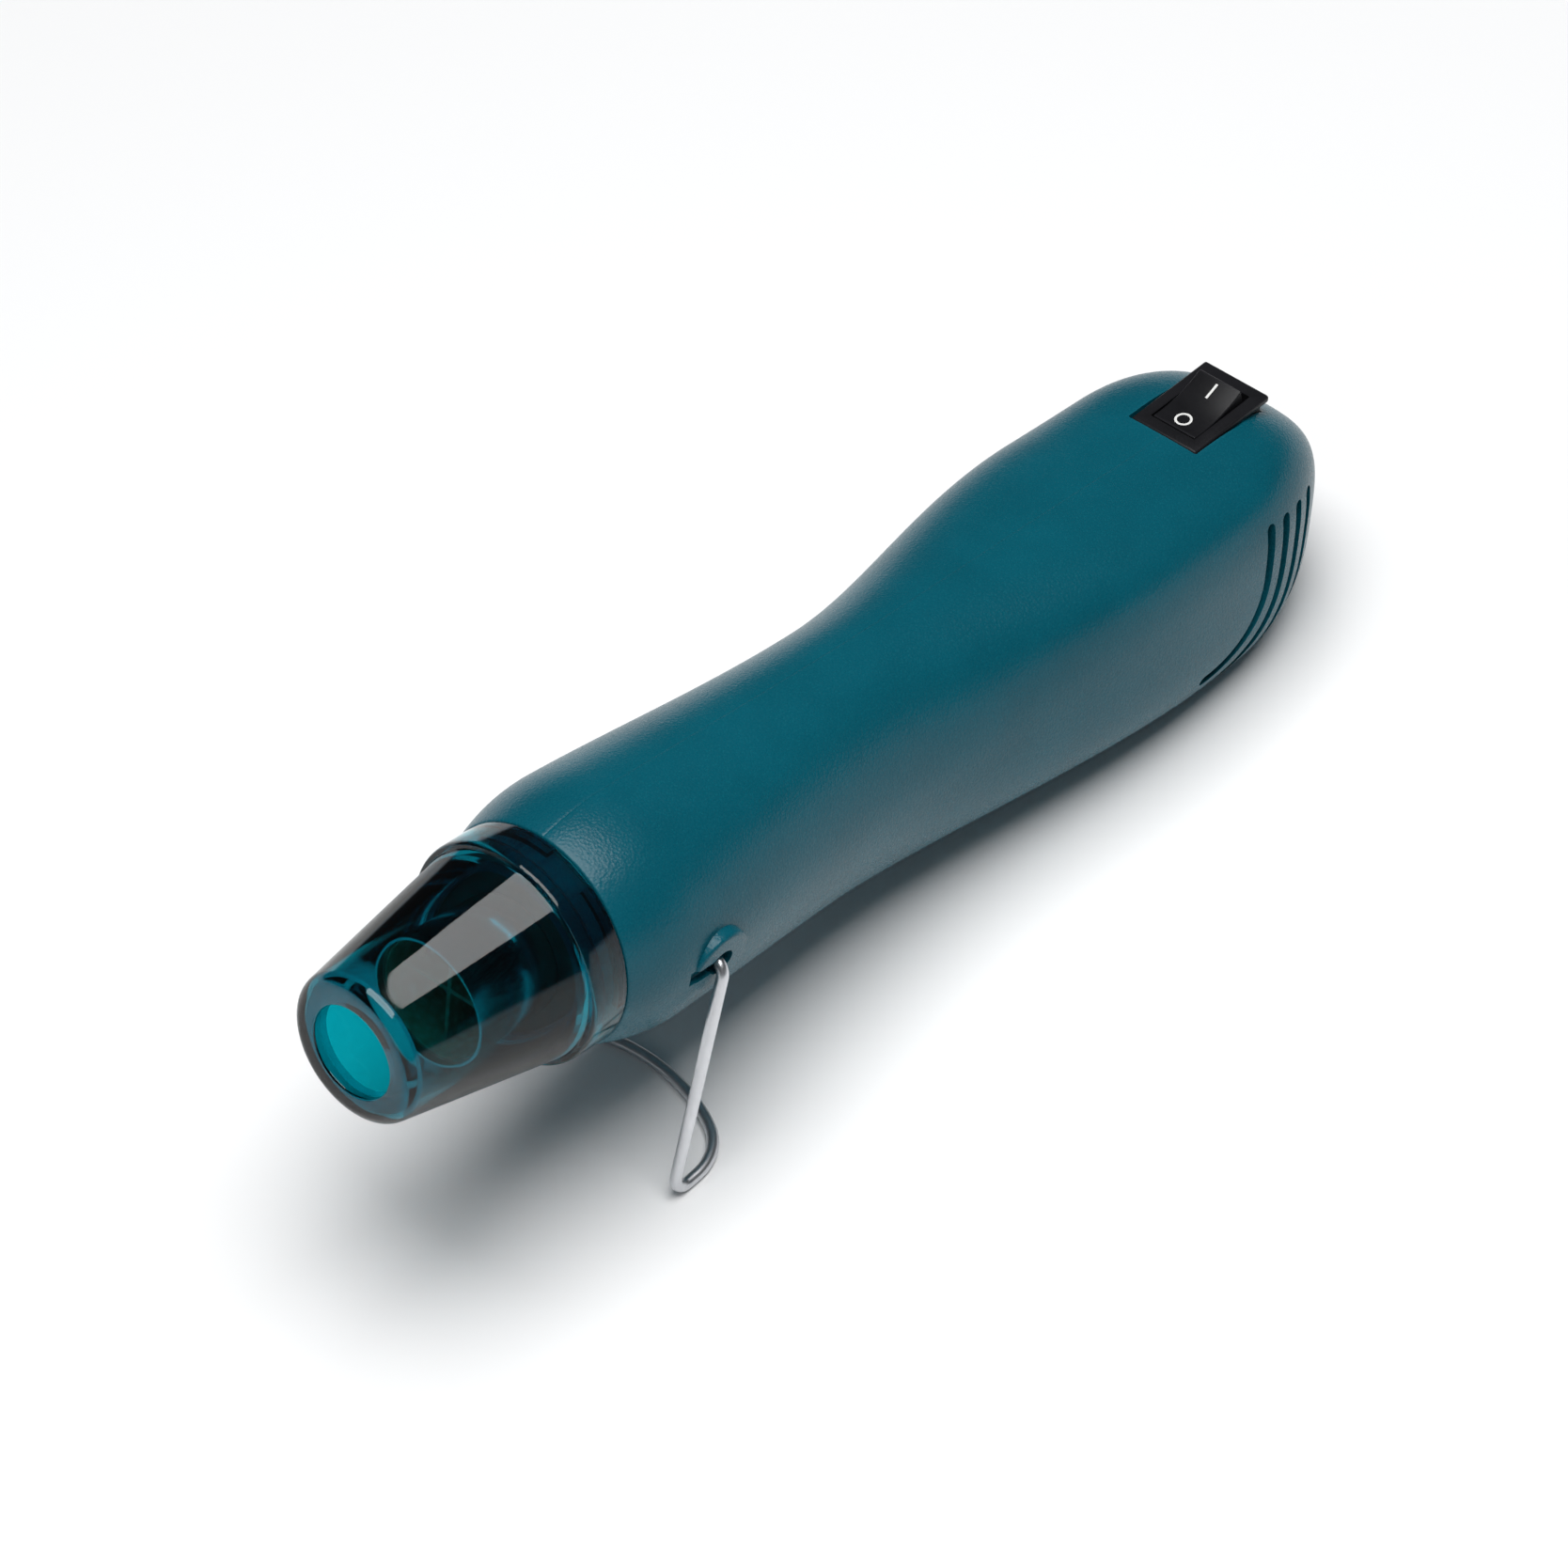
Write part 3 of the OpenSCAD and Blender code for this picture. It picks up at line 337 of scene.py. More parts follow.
def section(x, share, inset, angles):
    """Half a section from the belly to the crown; angles are pairs of angle and groove depth."""
    ring = []
    for angle, groove in angles:
        up = angle >= 0
        n = fullness(x, *((FULL_UP, LEAD_UP) if up else (FULL_DOWN, LEAD_DOWN)))
        c = max(0.0, cos(radians(angle)))
        h = abs(sin(radians(angle)))
        q = (c ** n + h ** n) ** (1 / n)
        o = inset + groove
        y = (radius_at(x, WIDTHS) - o) * share * c / q + PARTING_GAP
        z = (radius_at(x, UPS if up else DOWNS) - o) * share * h / q
        ring.append((x, y, mid_at(x) + math.copysign(z, angle)))
    return ring


def stations(inset):
    """Places along X, each with the section's share and its extra inset at the rounded front."""
    places = []
    for i in range(5):
        t = radians(90 * i / 4)
        places.append((SHELL_FRONT + FRONT_ROUND * (1 - cos(t)), 1, FRONT_ROUND * (1 - sin(t))))
    first = SHELL_FRONT + FRONT_ROUND
    places += [(mix(first, CAP_L + SWELL_L, i / 20), 1, 0) for i in range(1, 21)]
    places += [(mix(CAP_L + SWELL_L, DOME_X, i / 90), 1, 0) for i in range(1, 91)]
    for i in range(1, 37):
        s = sin(radians(DOME_LAST * i / 36)) ** (2 / FULL_TAIL)
        share = (1 - s ** FULL_TAIL) ** (1 / FULL_TAIL)
        places.append((DOME_X + (DOME_L - inset) * s, share, 0))
    return places


def even_angles(steps, groove):
    """Angles from the belly to the crown, with the parting groove's half lip at both ends."""
    inner = [(-90 + 180 * i / steps, 0) for i in range(1, steps)]
    if not groove:
        return [(-90, 0)] + inner + [(90, 0)]
    lip = [(90, groove), (89.72, groove * 0.7), (89.35, groove * 0.15), (89.0, 0)]
    return [(-a, g) for a, g in lip] + inner + [(a, g) for a, g in reversed(lip)]


def half_skin():
    """Half of the hollow body between its skin and the wall's inner face."""
    outer = [section(x, s, e, even_angles(SKIN_STEPS, GROOVE_DEPTH)) for x, s, e in stations(0)]
    inner = [section(x, s, WALL, even_angles(SKIN_STEPS, 0)) for x, s, e in stations(WALL)]
    rows, n, m = len(outer), len(outer[0]), len(inner[0])
    points = [p for ring in outer for p in ring] + [p for ring in inner for p in ring]
    base = rows * n
    faces = []
    for i in range(rows - 1):
        faces += [
            (i * n + j, i * n + j + 1, (i + 1) * n + j + 1, (i + 1) * n + j) for j in range(n - 1)
        ]
        faces += [
            (base + i * m + j, base + (i + 1) * m + j,
             base + (i + 1) * m + j + 1, base + i * m + j + 1)
            for j in range(m - 1)
        ]
        faces.append((i * n, (i + 1) * n, base + (i + 1) * m, base + i * m))
        faces.append((
            i * n + n - 1, base + i * m + m - 1, base + (i + 1) * m + m - 1, (i + 1) * n + n - 1
        ))
    for row in (0, rows - 1):
        ring = [row * n + j for j in range(n)] + [base + row * m + j for j in reversed(range(m))]
        faces.append(tuple(ring))
    return solid("half_skin", points, faces)


def half_core():
    """Solid half of the body, for trimming what stands inside it."""
    inset = WALL * 0.4
    rings = [section(x, s, inset, even_angles(CORE_STEPS, 0)) for x, s, e in stations(inset)]
    n = len(rings[0])
    points = [p for ring in rings for p in ring]
    faces = []
    for i in range(len(rings) - 1):
        faces += [
            (i * n + j, i * n + j + 1, (i + 1) * n + j + 1, (i + 1) * n + j) for j in range(n - 1)
        ]
        faces.append((i * n + n - 1, i * n, (i + 1) * n, (i + 1) * n + n - 1))
    faces += [tuple(range(n)), tuple(range((len(rings) - 1) * n, len(rings) * n))]
    return solid("half_core", points, faces)


# The two body shells

def slot_cutter(r, up):
    """One air slot: straight at its upper end, then an arc that runs down towards the nozzle."""
    half = SLOT_W / 2
    sweep = min(math.degrees(math.asin(min(0.999, SLOT_DOWN / r))), SLOT_LAST)
    steps = 24
    path = [(r, up)] + [
        (r * cos(radians(sweep * i / steps)), -r * sin(radians(sweep * i / steps)))
        for i in range(steps + 1)
    ]
    left, right = [], []
    for i, (x, z) in enumerate(path):
        nx, nz = (1.0, 0.0) if i < 2 else (x / r, z / r)
        left.append((x + half * nx, z + half * nz))
        right.append((x - half * nx, z - half * nz))
    cap_top = [(r + half * cos(t), up + half * sin(t)) for t in [pi * k / 8 for k in range(1, 8)]]
    end = radians(sweep)
    cx, cz = path[-1]
    cap_low = [
        (cx + half * cos(-end - pi * k / 8), cz + half * sin(-end - pi * k / 8))
        for k in range(1, 8)
    ]
    outline = left + cap_low + list(reversed(right)) + list(reversed(cap_top))
    return extruded("slot", [(SLOT_X + x, SLOT_Z + z) for x, z in outline], 12, 32)


def boss():
    """Round boss with a rounded rim, tipped so that its face slants."""
    e, sides = BOSS_ROUND, 72
    rim = [
        (BOSS_R - e * (1 - sin(radians(t))), BOSS_L - e * (1 - cos(radians(t))))
        for t in range(90, -1, -15)
    ]
    profile = [(BOSS_R, 0)] + rim
    n = len(profile)
    points = [
        (r * cos(2 * pi * k / sides), y - BOSS_L, r * sin(2 * pi * k / sides))
        for k in range(sides) for r, y in profile
    ]
    faces = [
        (k * n + j, k * n + j + 1, (k + 1) % sides * n + j + 1, (k + 1) % sides * n + j)
        for k in range(sides) for j in range(n - 1)
    ]
    faces.append(tuple(k * n for k in range(sides)))
    faces.append(tuple(k * n + n - 1 for k in range(sides)))
    return solid("boss", points, faces, BOSS)


def shell_half(side):
    """One shell, made on the side of positive Y; the left carries posts, the right screw wells."""
    right = side == "right"
    post_r = WELL_R + WELL_WALL if right else POST_R
    half_ring = dict(sides=96, a=0.05, b=179.95)
    posts = joined("posts", [
        rod("post", (x, PARTING_GAP, z), (0, 1, 0), post_r, 40) for x, z in SCREWS
    ])
    trimmed = worked(posts, [("INTERSECT", half_core())])
    lug = LUG_TURN / 2
    lugs = [
        turned("lug", rounded_ring(LUG_X, SPIGOT_IN + 1, LUG_R, LUG_L), 16, a - lug, a + lug)
        for a in (45, 135)
    ]
    tongue_ring = rounded_ring(
        TONGUE_X + SEAM, SPIGOT_IN + 1, NOSE_R - 0.02, CAP_L - TONGUE_X + 2, 0.25
    )
    wall_front, wall_back = SHELL_FRONT + 0.02, CAP_L + 2.6
    wall_ring = [
        (wall_front, SPIGOT_IN + 0.1), (wall_front, NOSE_R - 0.7),
        (wall_back, NOSE_R - 0.7), (wall_back, SPIGOT_IN + 0.1),
    ]
    spigot_ring = rounded_ring(CAP_L - SPIGOT_L, SPIGOT_IN, SPIGOT_R, SPIGOT_L + 1, 0.3)
    tongue = turned("tongue", tongue_ring, 32, 0.05, NOTCH_HALF - 0.6)
    parts = [
        turned("front_wall", wall_ring, **half_ring),
        turned("spigot", spigot_ring, **half_ring),
        joined("lugs", lugs), tongue, boss(), trimmed,
    ]
    cuts = [
        joined("slots", [
            slot_cutter(SLOT_R + SLOT_PITCH * i, SLOT_UP - SLOT_LOWER_BY * i) for i in range(SLOT_N)
        ]),
        rod("bore", (PIVOT_X, LEG_Y - BEND_R - 4.9, PIVOT_Z), (0, 1, 0), WIRE_R + 0.05, 12),
        rod("mouth", (0, -MOUTH_SUNK, 0), (0, 1, 0), MOUTH_R, 4.5, BOSS),
        box("groove", (-BOSS_R - 1, -GROOVE_SUNK, -GROOVE_HALF), (0, 3, GROOVE_HALF), BOSS, 0.25),
        box("recess", (-FLANGE_L / 2 - 0.3, -FLANGE_W / 2 - 0.4, -FLANGE_T),
            (FLANGE_L / 2 + 0.3, FLANGE_W / 2 + 0.4, 11), SWITCH, 0.4),
        box("window", (-HOUSING_L / 2 - 0.25, -HOUSING_W / 2 - 0.15, -10),
            (HOUSING_L / 2 + 0.25, HOUSING_W / 2 + 0.15, 2), SWITCH),
        rod("inlet", (TAIL_X - 20, 0, TAIL_MID), (1, 0, 0), INLET_R, 30),
        rod("bush_seat", (TAIL_X - 2, 0, TAIL_MID), (1, 0, 0), BUSH_R, 10),
    ]
    pilot_r = SCREW_R + (0.4 if right else 0.05)
    pilot_l = WELL_Y + 3 if right else 10.5
    cuts.append(joined("pilots", [
        rod("pilot", (x, -1, z), (0, 1, 0), pilot_r, pilot_l) for x, z in SCREWS
    ]))
    if right:
        cuts.append(joined("wells", [
            rod("well", (x, WELL_Y, z), (0, 1, 0), WELL_R, 40) for x, z in SCREWS
        ]))
    steps = [("UNION", p) for p in parts] + [("DIFFERENCE", c) for c in cuts]
    shell = worked(half_skin(), steps)
    shell.name = side + "_moulding"
    return shell if right else mirrored(shell)


# Nozzle cap

def nozzle_cap():
    """Turned cap: outlet, rolled rim, cone, step and collar, cut for the lugs and the tongue."""
    back_in = CONE_R - CAP_WALL
    front_in = RIM_R + OUTLET_T * math.tan(SLOPE) - CAP_WALL
    rim_mid = RIM_R + RIM_ROUND * math.tan(SLOPE) - RIM_ROUND / cos(SLOPE)
    groove_r = LUG_R + 0.3
    lip, step_round, edge = 0.5, 1.2, 0.3
    lead = [
        (lip * (1 - sin(t)), OUTLET_R + lip * (1 - cos(t)))
        for t in [pi / 2 * k / 5 for k in range(6)]
    ]
    rim = [
        (RIM_ROUND + RIM_ROUND * cos(t), rim_mid + RIM_ROUND * sin(t))
        for t in steps_between(pi, pi / 2 + SLOPE, 14)
    ]
    step = [
        (STEP_X + step_round * (1 - cos(t)), mix(STEP_R, NOSE_R, sin(t)))
        for t in [pi / 2 * k / 8 for k in range(9)]
    ]
    back = [
        (CAP_L - edge * (1 - cos(t)), NOSE_R - edge * (1 - sin(t)))
        for t in [pi / 2 * (1 - k / 5) for k in range(6)]
    ]
    inner = [
        (CAP_L, COLLAR_IN), (LUG_X + LUG_L + 0.3, COLLAR_IN), (LUG_X + LUG_L + 0.3, groove_r),
        (LUG_X - 0.3, groove_r), (LUG_X - 0.3, COLLAR_IN), (STEP_X + 0.8, COLLAR_IN),
        (STEP_X + 0.8, back_in), (STEP_X, back_in), (OUTLET_T + 0.4, front_in - 0.1),
        (OUTLET_T, front_in - 0.5), (OUTLET_T, OUTLET_R),
    ]
    cone_end = [(STEP_X - 0.25, CONE_R - 0.02), (STEP_X, CONE_R + 0.2)]
    cap = turned("nozzle_cap_skin", lead + rim + cone_end + step + back + inner, 224)
    notch_ring = [
        (TONGUE_X, COLLAR_IN - 0.5), (TONGUE_X, NOSE_R + 2),
        (CAP_L + 2, NOSE_R + 2), (CAP_L + 2, COLLAR_IN - 0.5),
    ]
    notch = turned("notch", notch_ring, 48, -NOTCH_HALF, NOTCH_HALF)
    key_ring = [
        (LUG_X, COLLAR_IN - 0.5), (LUG_X, groove_r),
        (CAP_L + 1, groove_r), (CAP_L + 1, COLLAR_IN - 0.5),
    ]
    keys = joined("keys", [
        turned("key", key_ring, 16, 90 * i + 8, 90 * i + 8 + LUG_TURN + 3) for i in range(1, LUG_N)
    ])
    return worked(cap, [("DIFFERENCE", notch), ("DIFFERENCE", keys)])


# Wire stand

def swept(name, path, r, sides, start_up):
    """A round bar along a path of points, its rings carried on without twist."""
    path = [Vector(p) for p in path]
    last = len(path) - 1
    rings = []
    up = Vector(start_up)
    for i, p in enumerate(path):
        ahead = (path[min(i + 1, last)] - p).normalized() if i < last else Vector()
        behind = (p - path[i - 1]).normalized() if i else Vector()
        run = (ahead + behind).normalized()
        up = (up - run * up.dot(run)).normalized()
        across = run.cross(up)
        turns = [2 * pi * k / sides for k in range(sides)]
        rings.append([p + r * (cos(t) * up + sin(t) * across) for t in turns])
    points = [q for ring in rings for q in ring]
    faces = [
        (i * sides + k, i * sides + (k + 1) % sides,
         (i + 1) * sides + (k + 1) % sides, (i + 1) * sides + k)
        for i in range(last) for k in range(sides)
    ]
    faces += [tuple(range(sides)), tuple(range(last * sides, (last + 1) * sides))]
    return solid(name, points, faces)


def wire_stand():
    """Two stubs in the bosses, two legs and a foot of three arcs, bent from one wire."""
    lean = radians(LEG_LEAN)
    floor_turn = pi / 2 + lean
    floor_cut = BEND_R * math.tan(floor_turn / 2)
    foot_z = -LEG_L * cos(lean)
    toe_x = -LEG_L * sin(lean)
    corner_y = LEG_Y - CORNER_R
    arc_x = toe_x + FOOT_L - FOOT_R
    corner_x = arc_x + sqrt((FOOT_R - CORNER_R) ** 2 - corner_y ** 2)
    corner_turn = math.asin(corner_y / (FOOT_R - CORNER_R))
    down = Vector((-sin(lean), 0, -cos(lean)))
    bend_y = LEG_Y - BEND_R
    side = [Vector((0, y, 0)) for y in steps_between(bend_y - 4.6, bend_y - 0.6, 4)]
    side += [Vector((0, bend_y + BEND_R * sin(t), 0)) + BEND_R * (1 - cos(t)) * down
             for t in steps_between(0, pi / 2, 12)]
    heel = Vector((toe_x + floor_cut, LEG_Y, foot_z + BEND_R))
    bends = [heel + BEND_R * Vector((cos(t), 0, sin(t)))
             for t in steps_between(-pi / 2 - floor_turn, -pi / 2, 14)]
    side += [side[-1].lerp(bends[0], k / 12) for k in range(1, 12)] + bends
    side += [Vector((corner_x + CORNER_R * cos(t), corner_y + CORNER_R * sin(t), foot_z))
             for t in steps_between(pi / 2, corner_turn, 18)]
    arc = [Vector((arc_x + FOOT_R * cos(t), FOOT_R * sin(t), foot_z))
           for t in steps_between(corner_turn, -corner_turn, 28)[1:-1]]
    path = side + arc + [Vector((p.x, -p.y, p.z)) for p in reversed(side)]
    return swept("stand_wire", path, WIRE_R, 24, (1, 0, 0))


# Rocker switch

def switch_frame():
    """Bevelled flange and housing, with the cavity, the pivot bore and the terminal slots."""
    flange = box("switch_bezel", (-FLANGE_L / 2, -FLANGE_W / 2, -FLANGE_T),
                 (FLANGE_L / 2, FLANGE_W / 2, 0), SWITCH, 0.55, 4)
    housing = box("housing", (-HOUSING_L / 2, -HOUSING_W / 2, -HOUSING_H),
                  (HOUSING_L / 2, HOUSING_W / 2, -0.7), SWITCH, 0.3)
    cavity = box("cavity", (-CAVITY_L / 2, -CAVITY_W / 2, -CAVITY_H),
                 (CAVITY_L / 2, CAVITY_W / 2, 4), SWITCH, 0.25)
    pin = rod("pin", (0, -10, ROCKER_Z), (0, 1, 0), STUB_R + 0.05, 20, SWITCH)
    slots = joined("blade_slots", [
        box("blade_slot", (x - 0.5, -2.5, -HOUSING_H - 1), (x + 0.5, 2.5, -HOUSING_H + 7), SWITCH)
        for x in TERMINAL_AT
    ])
    return worked(flange, [
        ("UNION", housing), ("DIFFERENCE", cavity), ("DIFFERENCE", pin), ("DIFFERENCE", slots)
    ])


def rocker_top(x):
    """Height of the rocker's hollow top at x."""
    return ROCKER_MID_Z + ROCKER_TOP_R - sqrt(ROCKER_TOP_R ** 2 - x * x)


def switch_rocker():
    """Hollow-topped rocker with soft edges, a pocket below and two pivot stubs."""
    arc = [(x, rocker_top(x)) for x in steps_between(ROCKER_HALF, -ROCKER_HALF, 28)]
    outline = [(-ROCKER_HALF, -1.8), (ROCKER_HALF, -1.8)] + arc
    block = extruded("switch_key", outline, -ROCKER_W / 2, ROCKER_W / 2)
    bm = bmesh.new()
    bm.from_mesh(block.data)
    sharp = [e for e in bm.edges if e.calc_face_angle(0) > radians(20)]
    bmesh.ops.bevel(
        bm, geom=sharp, offset=0.3, segments=3, profile=0.5, affect="EDGES", clamp_overlap=True
    )
    bm.to_mesh(block.data)
    bm.free()
    block.data.transform(ROCKER)
    wall = 1.2
    hollow = box("pocket", (-ROCKER_HALF + wall, -ROCKER_W / 2 + wall, -2.8),
                 (ROCKER_HALF - wall, ROCKER_W / 2 - wall, 2.6), ROCKER)
    stem = rod("stem", (0, 0, -6), (0, 0, 1), 2.0, 12, ROCKER)
    pocket = worked(hollow, [("DIFFERENCE", stem)])
    guide = rod("guide", (0, 0, -4), (0, 0, 1), 0.9, 5.5, ROCKER)
    stubs = joined("stubs", [
        rod("stub", (0, s * (ROCKER_W / 2 - 0.6), 0), (0, s, 0), STUB_R, 1.6, ROCKER)
        for s in (-1, 1)
    ])
    return worked(block, [("DIFFERENCE", pocket), ("DIFFERENCE", guide), ("UNION", stubs)])


def on_rocker(x, y, lift):
    """A point over the rocker's top."""
    return (x, y, rocker_top(x) + lift)


def bar_mark():
    """The I: a short bar printed along the rocker, at its raised end."""
    n = 12
    rows = [(MARK_X - BAR_L / 2 + BAR_L * i / n) for i in range(n + 1)]
    points = [
        on_rocker(x, y, t)
        for t in (-MARK_SUNK, MARK_T) for x in rows for y in (-BAR_W / 2, BAR_W / 2)
    ]
    m = 2 * (n + 1)
    faces = [(2 * i, 2 * i + 1, 2 * i + 3, 2 * i + 2) for i in range(n)]
    faces += [(m + 2 * i, m + 2 * i + 2, m + 2 * i + 3, m + 2 * i + 1) for i in range(n)]
    faces += [(2 * i, 2 * i + 2, m + 2 * i + 2, m + 2 * i) for i in range(n)]
    faces += [(2 * i + 1, m + 2 * i + 1, m + 2 * i + 3, 2 * i + 3) for i in range(n)]
    faces += [(0, m, m + 1, 1), (m - 2, m - 1, 2 * m - 1, 2 * m - 2)]
    return solid("mark_on", points, faces, ROCKER)


def ring_mark():
    """The O: a ring printed on the rocker, at its pressed end."""
    n = 56
    hole_r = RING_R - RING_STROKE
    corners = ((RING_R, -MARK_SUNK), (RING_R, MARK_T), (hole_r, MARK_T), (hole_r, -MARK_SUNK))
    points = []
    for k in range(n):
        c, s = cos(2 * pi * k / n), sin(2 * pi * k / n)
        points += [on_rocker(-MARK_X + r * c, r * s, lift) for r, lift in corners]
    faces = [
        (4 * k + j, 4 * k + (j + 1) % 4, 4 * ((k + 1) % n) + (j + 1) % 4, 4 * ((k + 1) % n) + j)
        for k in range(n) for j in range(4)
    ]
    return solid("mark_off", points, faces, ROCKER)


# Materials

class Tree:
    """The nodes of a material or of the world, wired with short calls."""

    def __init__(self, owner):
        owner.use_nodes = True
        self.nodes = owner.node_tree.nodes
        self.links = owner.node_tree.links

    def add(self, kind, **values):
        node = self.nodes.new(kind)
        for key, value in values.items():
            setattr(node, key, value)
        return node

    def link(self, source, target):
        self.links.new(source, target)

    def feed(self, target, source):
        """Gives a socket a number, a colour or another socket's value."""
        if isinstance(source, tuple):
            target.default_value = (*source, 1)
        elif isinstance(source, float):
            target.default_value = source
        else:
            self.link(source, target)

    def ranged(self, value, low, high, out_low, out_high, curve="LINEAR"):
        node = self.add("ShaderNodeMapRange", interpolation_type=curve)
        ends = (("From Min", low), ("From Max", high), ("To Min", out_low), ("To Max", out_high))
        for key, number in ends:
            node.inputs[key].default_value = number
        self.link(value, node.inputs["Value"])
        return node.outputs["Result"]

    def sums(self, operation, a, b):
        node = self.add("ShaderNodeMath", operation=operation)
        self.link(a, node.inputs[0])
        self.link(b, node.inputs[1])
        return node.outputs[0]

    def mixed(self, factor, a, b):
        """Between two numbers."""
        node = self.add("ShaderNodeMix")
        for socket, source in ((node.inputs[0], factor), (node.inputs[2], a), (node.inputs[3], b)):
            self.feed(socket, source)
        return node.outputs[0]

    def blend(self, factor, a, b):
        """Between two colours."""
        node = self.add("ShaderNodeMix", data_type="RGBA")
        for socket, source in ((node.inputs[0], factor), (node.inputs[6], a), (node.inputs[7], b)):
            self.feed(socket, source)
        return node.outputs[2]

    def seen_directly(self):
        """1 for rays that show the background: the camera's, those off gloss or through glass."""
        path = self.add("ShaderNodeLightPath")
        total = path.outputs["Is Camera Ray"]
        for other in ("Is Glossy Ray", "Is Transmission Ray"):
            total = self.sums("MAXIMUM", total, path.outputs[other])
        return total


class Surface(Tree):
    """A material whose patterns lie in the object's own place."""

    def __init__(self, name):
        self.mat = bpy.data.materials.new(name)
        super().__init__(self.mat)
        self.shader = self.nodes["Principled BSDF"]
        self.place = self.add("ShaderNodeTexCoord").outputs["Object"]

    def stretched(self, x, y, z):
        node = self.add("ShaderNodeMapping")
        node.inputs["Scale"].default_value = (x, y, z)
        self.link(self.place, node.inputs["Vector"])
        return node.outputs["Vector"]

    def noise(self, size_mm, detail=3.0, rough=0.55, source=None):
        node = self.add("ShaderNodeTexNoise")
        node.inputs["Scale"].default_value = 1 / (size_mm * MM)
        node.inputs["Detail"].default_value = detail
        node.inputs["Roughness"].default_value = rough
        self.link(source or self.place, node.inputs["Vector"])
        return node.outputs["Fac"]

    def cells(self, size_mm, feature="F1", source=None):
        node = self.add("ShaderNodeTexVoronoi", feature=feature)
        node.inputs["Scale"].default_value = 1 / (size_mm * MM)
        self.link(source or self.place, node.inputs["Vector"])
        return node.outputs["Distance"]

    def edges(self, low, high, most):
        """From 0 on open faces to most on convex edges."""
        node = self.add("ShaderNodeNewGeometry")
        return self.ranged(node.outputs["Pointiness"], low, high, 0, most)

    def bump(self, height, strength, distance_mm, normal=None):
        node = self.add("ShaderNodeBump")
        node.inputs["Strength"].default_value = strength
        node.inputs["Distance"].default_value = distance_mm * MM
        self.link(height, node.inputs["Height"])
        if normal:
            self.link(normal, node.inputs["Normal"])
        return node.outputs["Normal"]

    def set(self, **values):
        for key, value in values.items():
            self.shader.inputs[key.replace("_", " ")].default_value = value

    def wire(self, **sources):
        for key, source in sources.items():
            self.link(source, self.shader.inputs[key.replace("_", " ")])


def two_tones(t, size_mm, low, high):
    """A slow drift between two colours."""
    return t.blend(t.ranged(t.noise(size_mm), 0.3, 0.7, 0, 1), low, high)


def body_teal():
    """Teal plastic with a fine spark-eroded grain, paler on convex edges: partly wear, partly a
    painted highlight along the rounded edges.
    """
    t = Surface("body_teal")
    grain = t.noise(0.42, 2, 0.6)
    speck = t.cells(0.55)
    colour = two_tones(t, 18, (0.001, 0.074, 0.106), (0.0015, 0.088, 0.125))
    colour = t.blend(t.ranged(speck, 0.0, 0.35, 0.6, 0), colour, (0.004, 0.125, 0.16))
    # Paler teal on convex edges: partly wear, partly a painted highlight along the rounded edges.
    colour = t.blend(t.edges(0.53, 0.6, 0.35), colour, (0.02, 0.16, 0.21))
    normal = t.bump(grain, 0.34, 0.05)
    normal = t.bump(speck, 0.45, 0.1, normal)
    t.wire(Base_Color=colour, Roughness=t.ranged(grain, 0.3, 0.7, 0.23, 0.35), Normal=normal)
    t.set(IOR=1.5, Specular_IOR_Level=0.23)
    return t.mat


def cap_tint():
    """Clear teal plastic, gloss-moulded, darker where it is thick, with a faint flow."""
    t = Surface("cap_tint")
    flow = t.noise(14, 2, 0.5, t.stretched(0.4, 1, 1))
    haze = t.noise(2.2, 3)
    colour = t.blend(t.ranged(flow, 0.3, 0.7, 0, 1), (0.015, 0.5, 0.58), (0.025, 0.55, 0.63))
    normal = t.bump(flow, 0.12, 0.5)
    t.wire(Base_Color=colour, Roughness=t.ranged(haze, 0.3, 0.7, 0.03, 0.06), Normal=normal)
    t.set(IOR=1.39, Transmission_Weight=1.0)
    depth = t.add("ShaderNodeVolumeAbsorption")
    depth.inputs["Color"].default_value = (0, 0.825, 0.845, 1)
    depth.inputs["Density"].default_value = 1200
    t.link(depth.outputs["Volume"], t.nodes["Material Output"].inputs["Volume"])
    return t.mat


def plastic(name, low, high, rough, grain_mm=0.5, strength=0.2, wear_and_edge_highlight=None, shine=0.5):
    """Moulded plastic, resin or paint with fine grain."""
    t = Surface(name)
    grain = t.noise(grain_mm, 3, 0.6)
    colour = two_tones(t, 7, low, high)
    # Paler colour on convex edges: partly wear, partly a painted highlight along the edges.
    if wear_and_edge_highlight:
        colour = t.blend(t.edges(0.52, 0.6, 0.5), colour, wear_and_edge_highlight)
    t.wire(
        Base_Color=colour, Roughness=t.ranged(grain, 0.3, 0.7, rough - 0.07, rough + 0.07),
        Normal=t.bump(grain, strength, 0.04)
    )
    t.set(Specular_IOR_Level=shine)
    return t.mat


def metal(name, low, high, rough, streak=(1, 1, 1), size_mm=0.4, strength=0.12):
    """Bare metal with drawing or brushing marks along one direction."""
    t = Surface(name)
    marks = t.noise(size_mm, 4, 0.65, t.stretched(*streak))
    colour = two_tones(t, 6, low, high)
    t.wire(
        Base_Color=colour, Roughness=t.ranged(marks, 0.3, 0.7, rough - 0.08, rough + 0.08),
        Normal=t.bump(marks, strength, 0.02)
    )
    t.set(Metallic=1.0)
    return t.mat


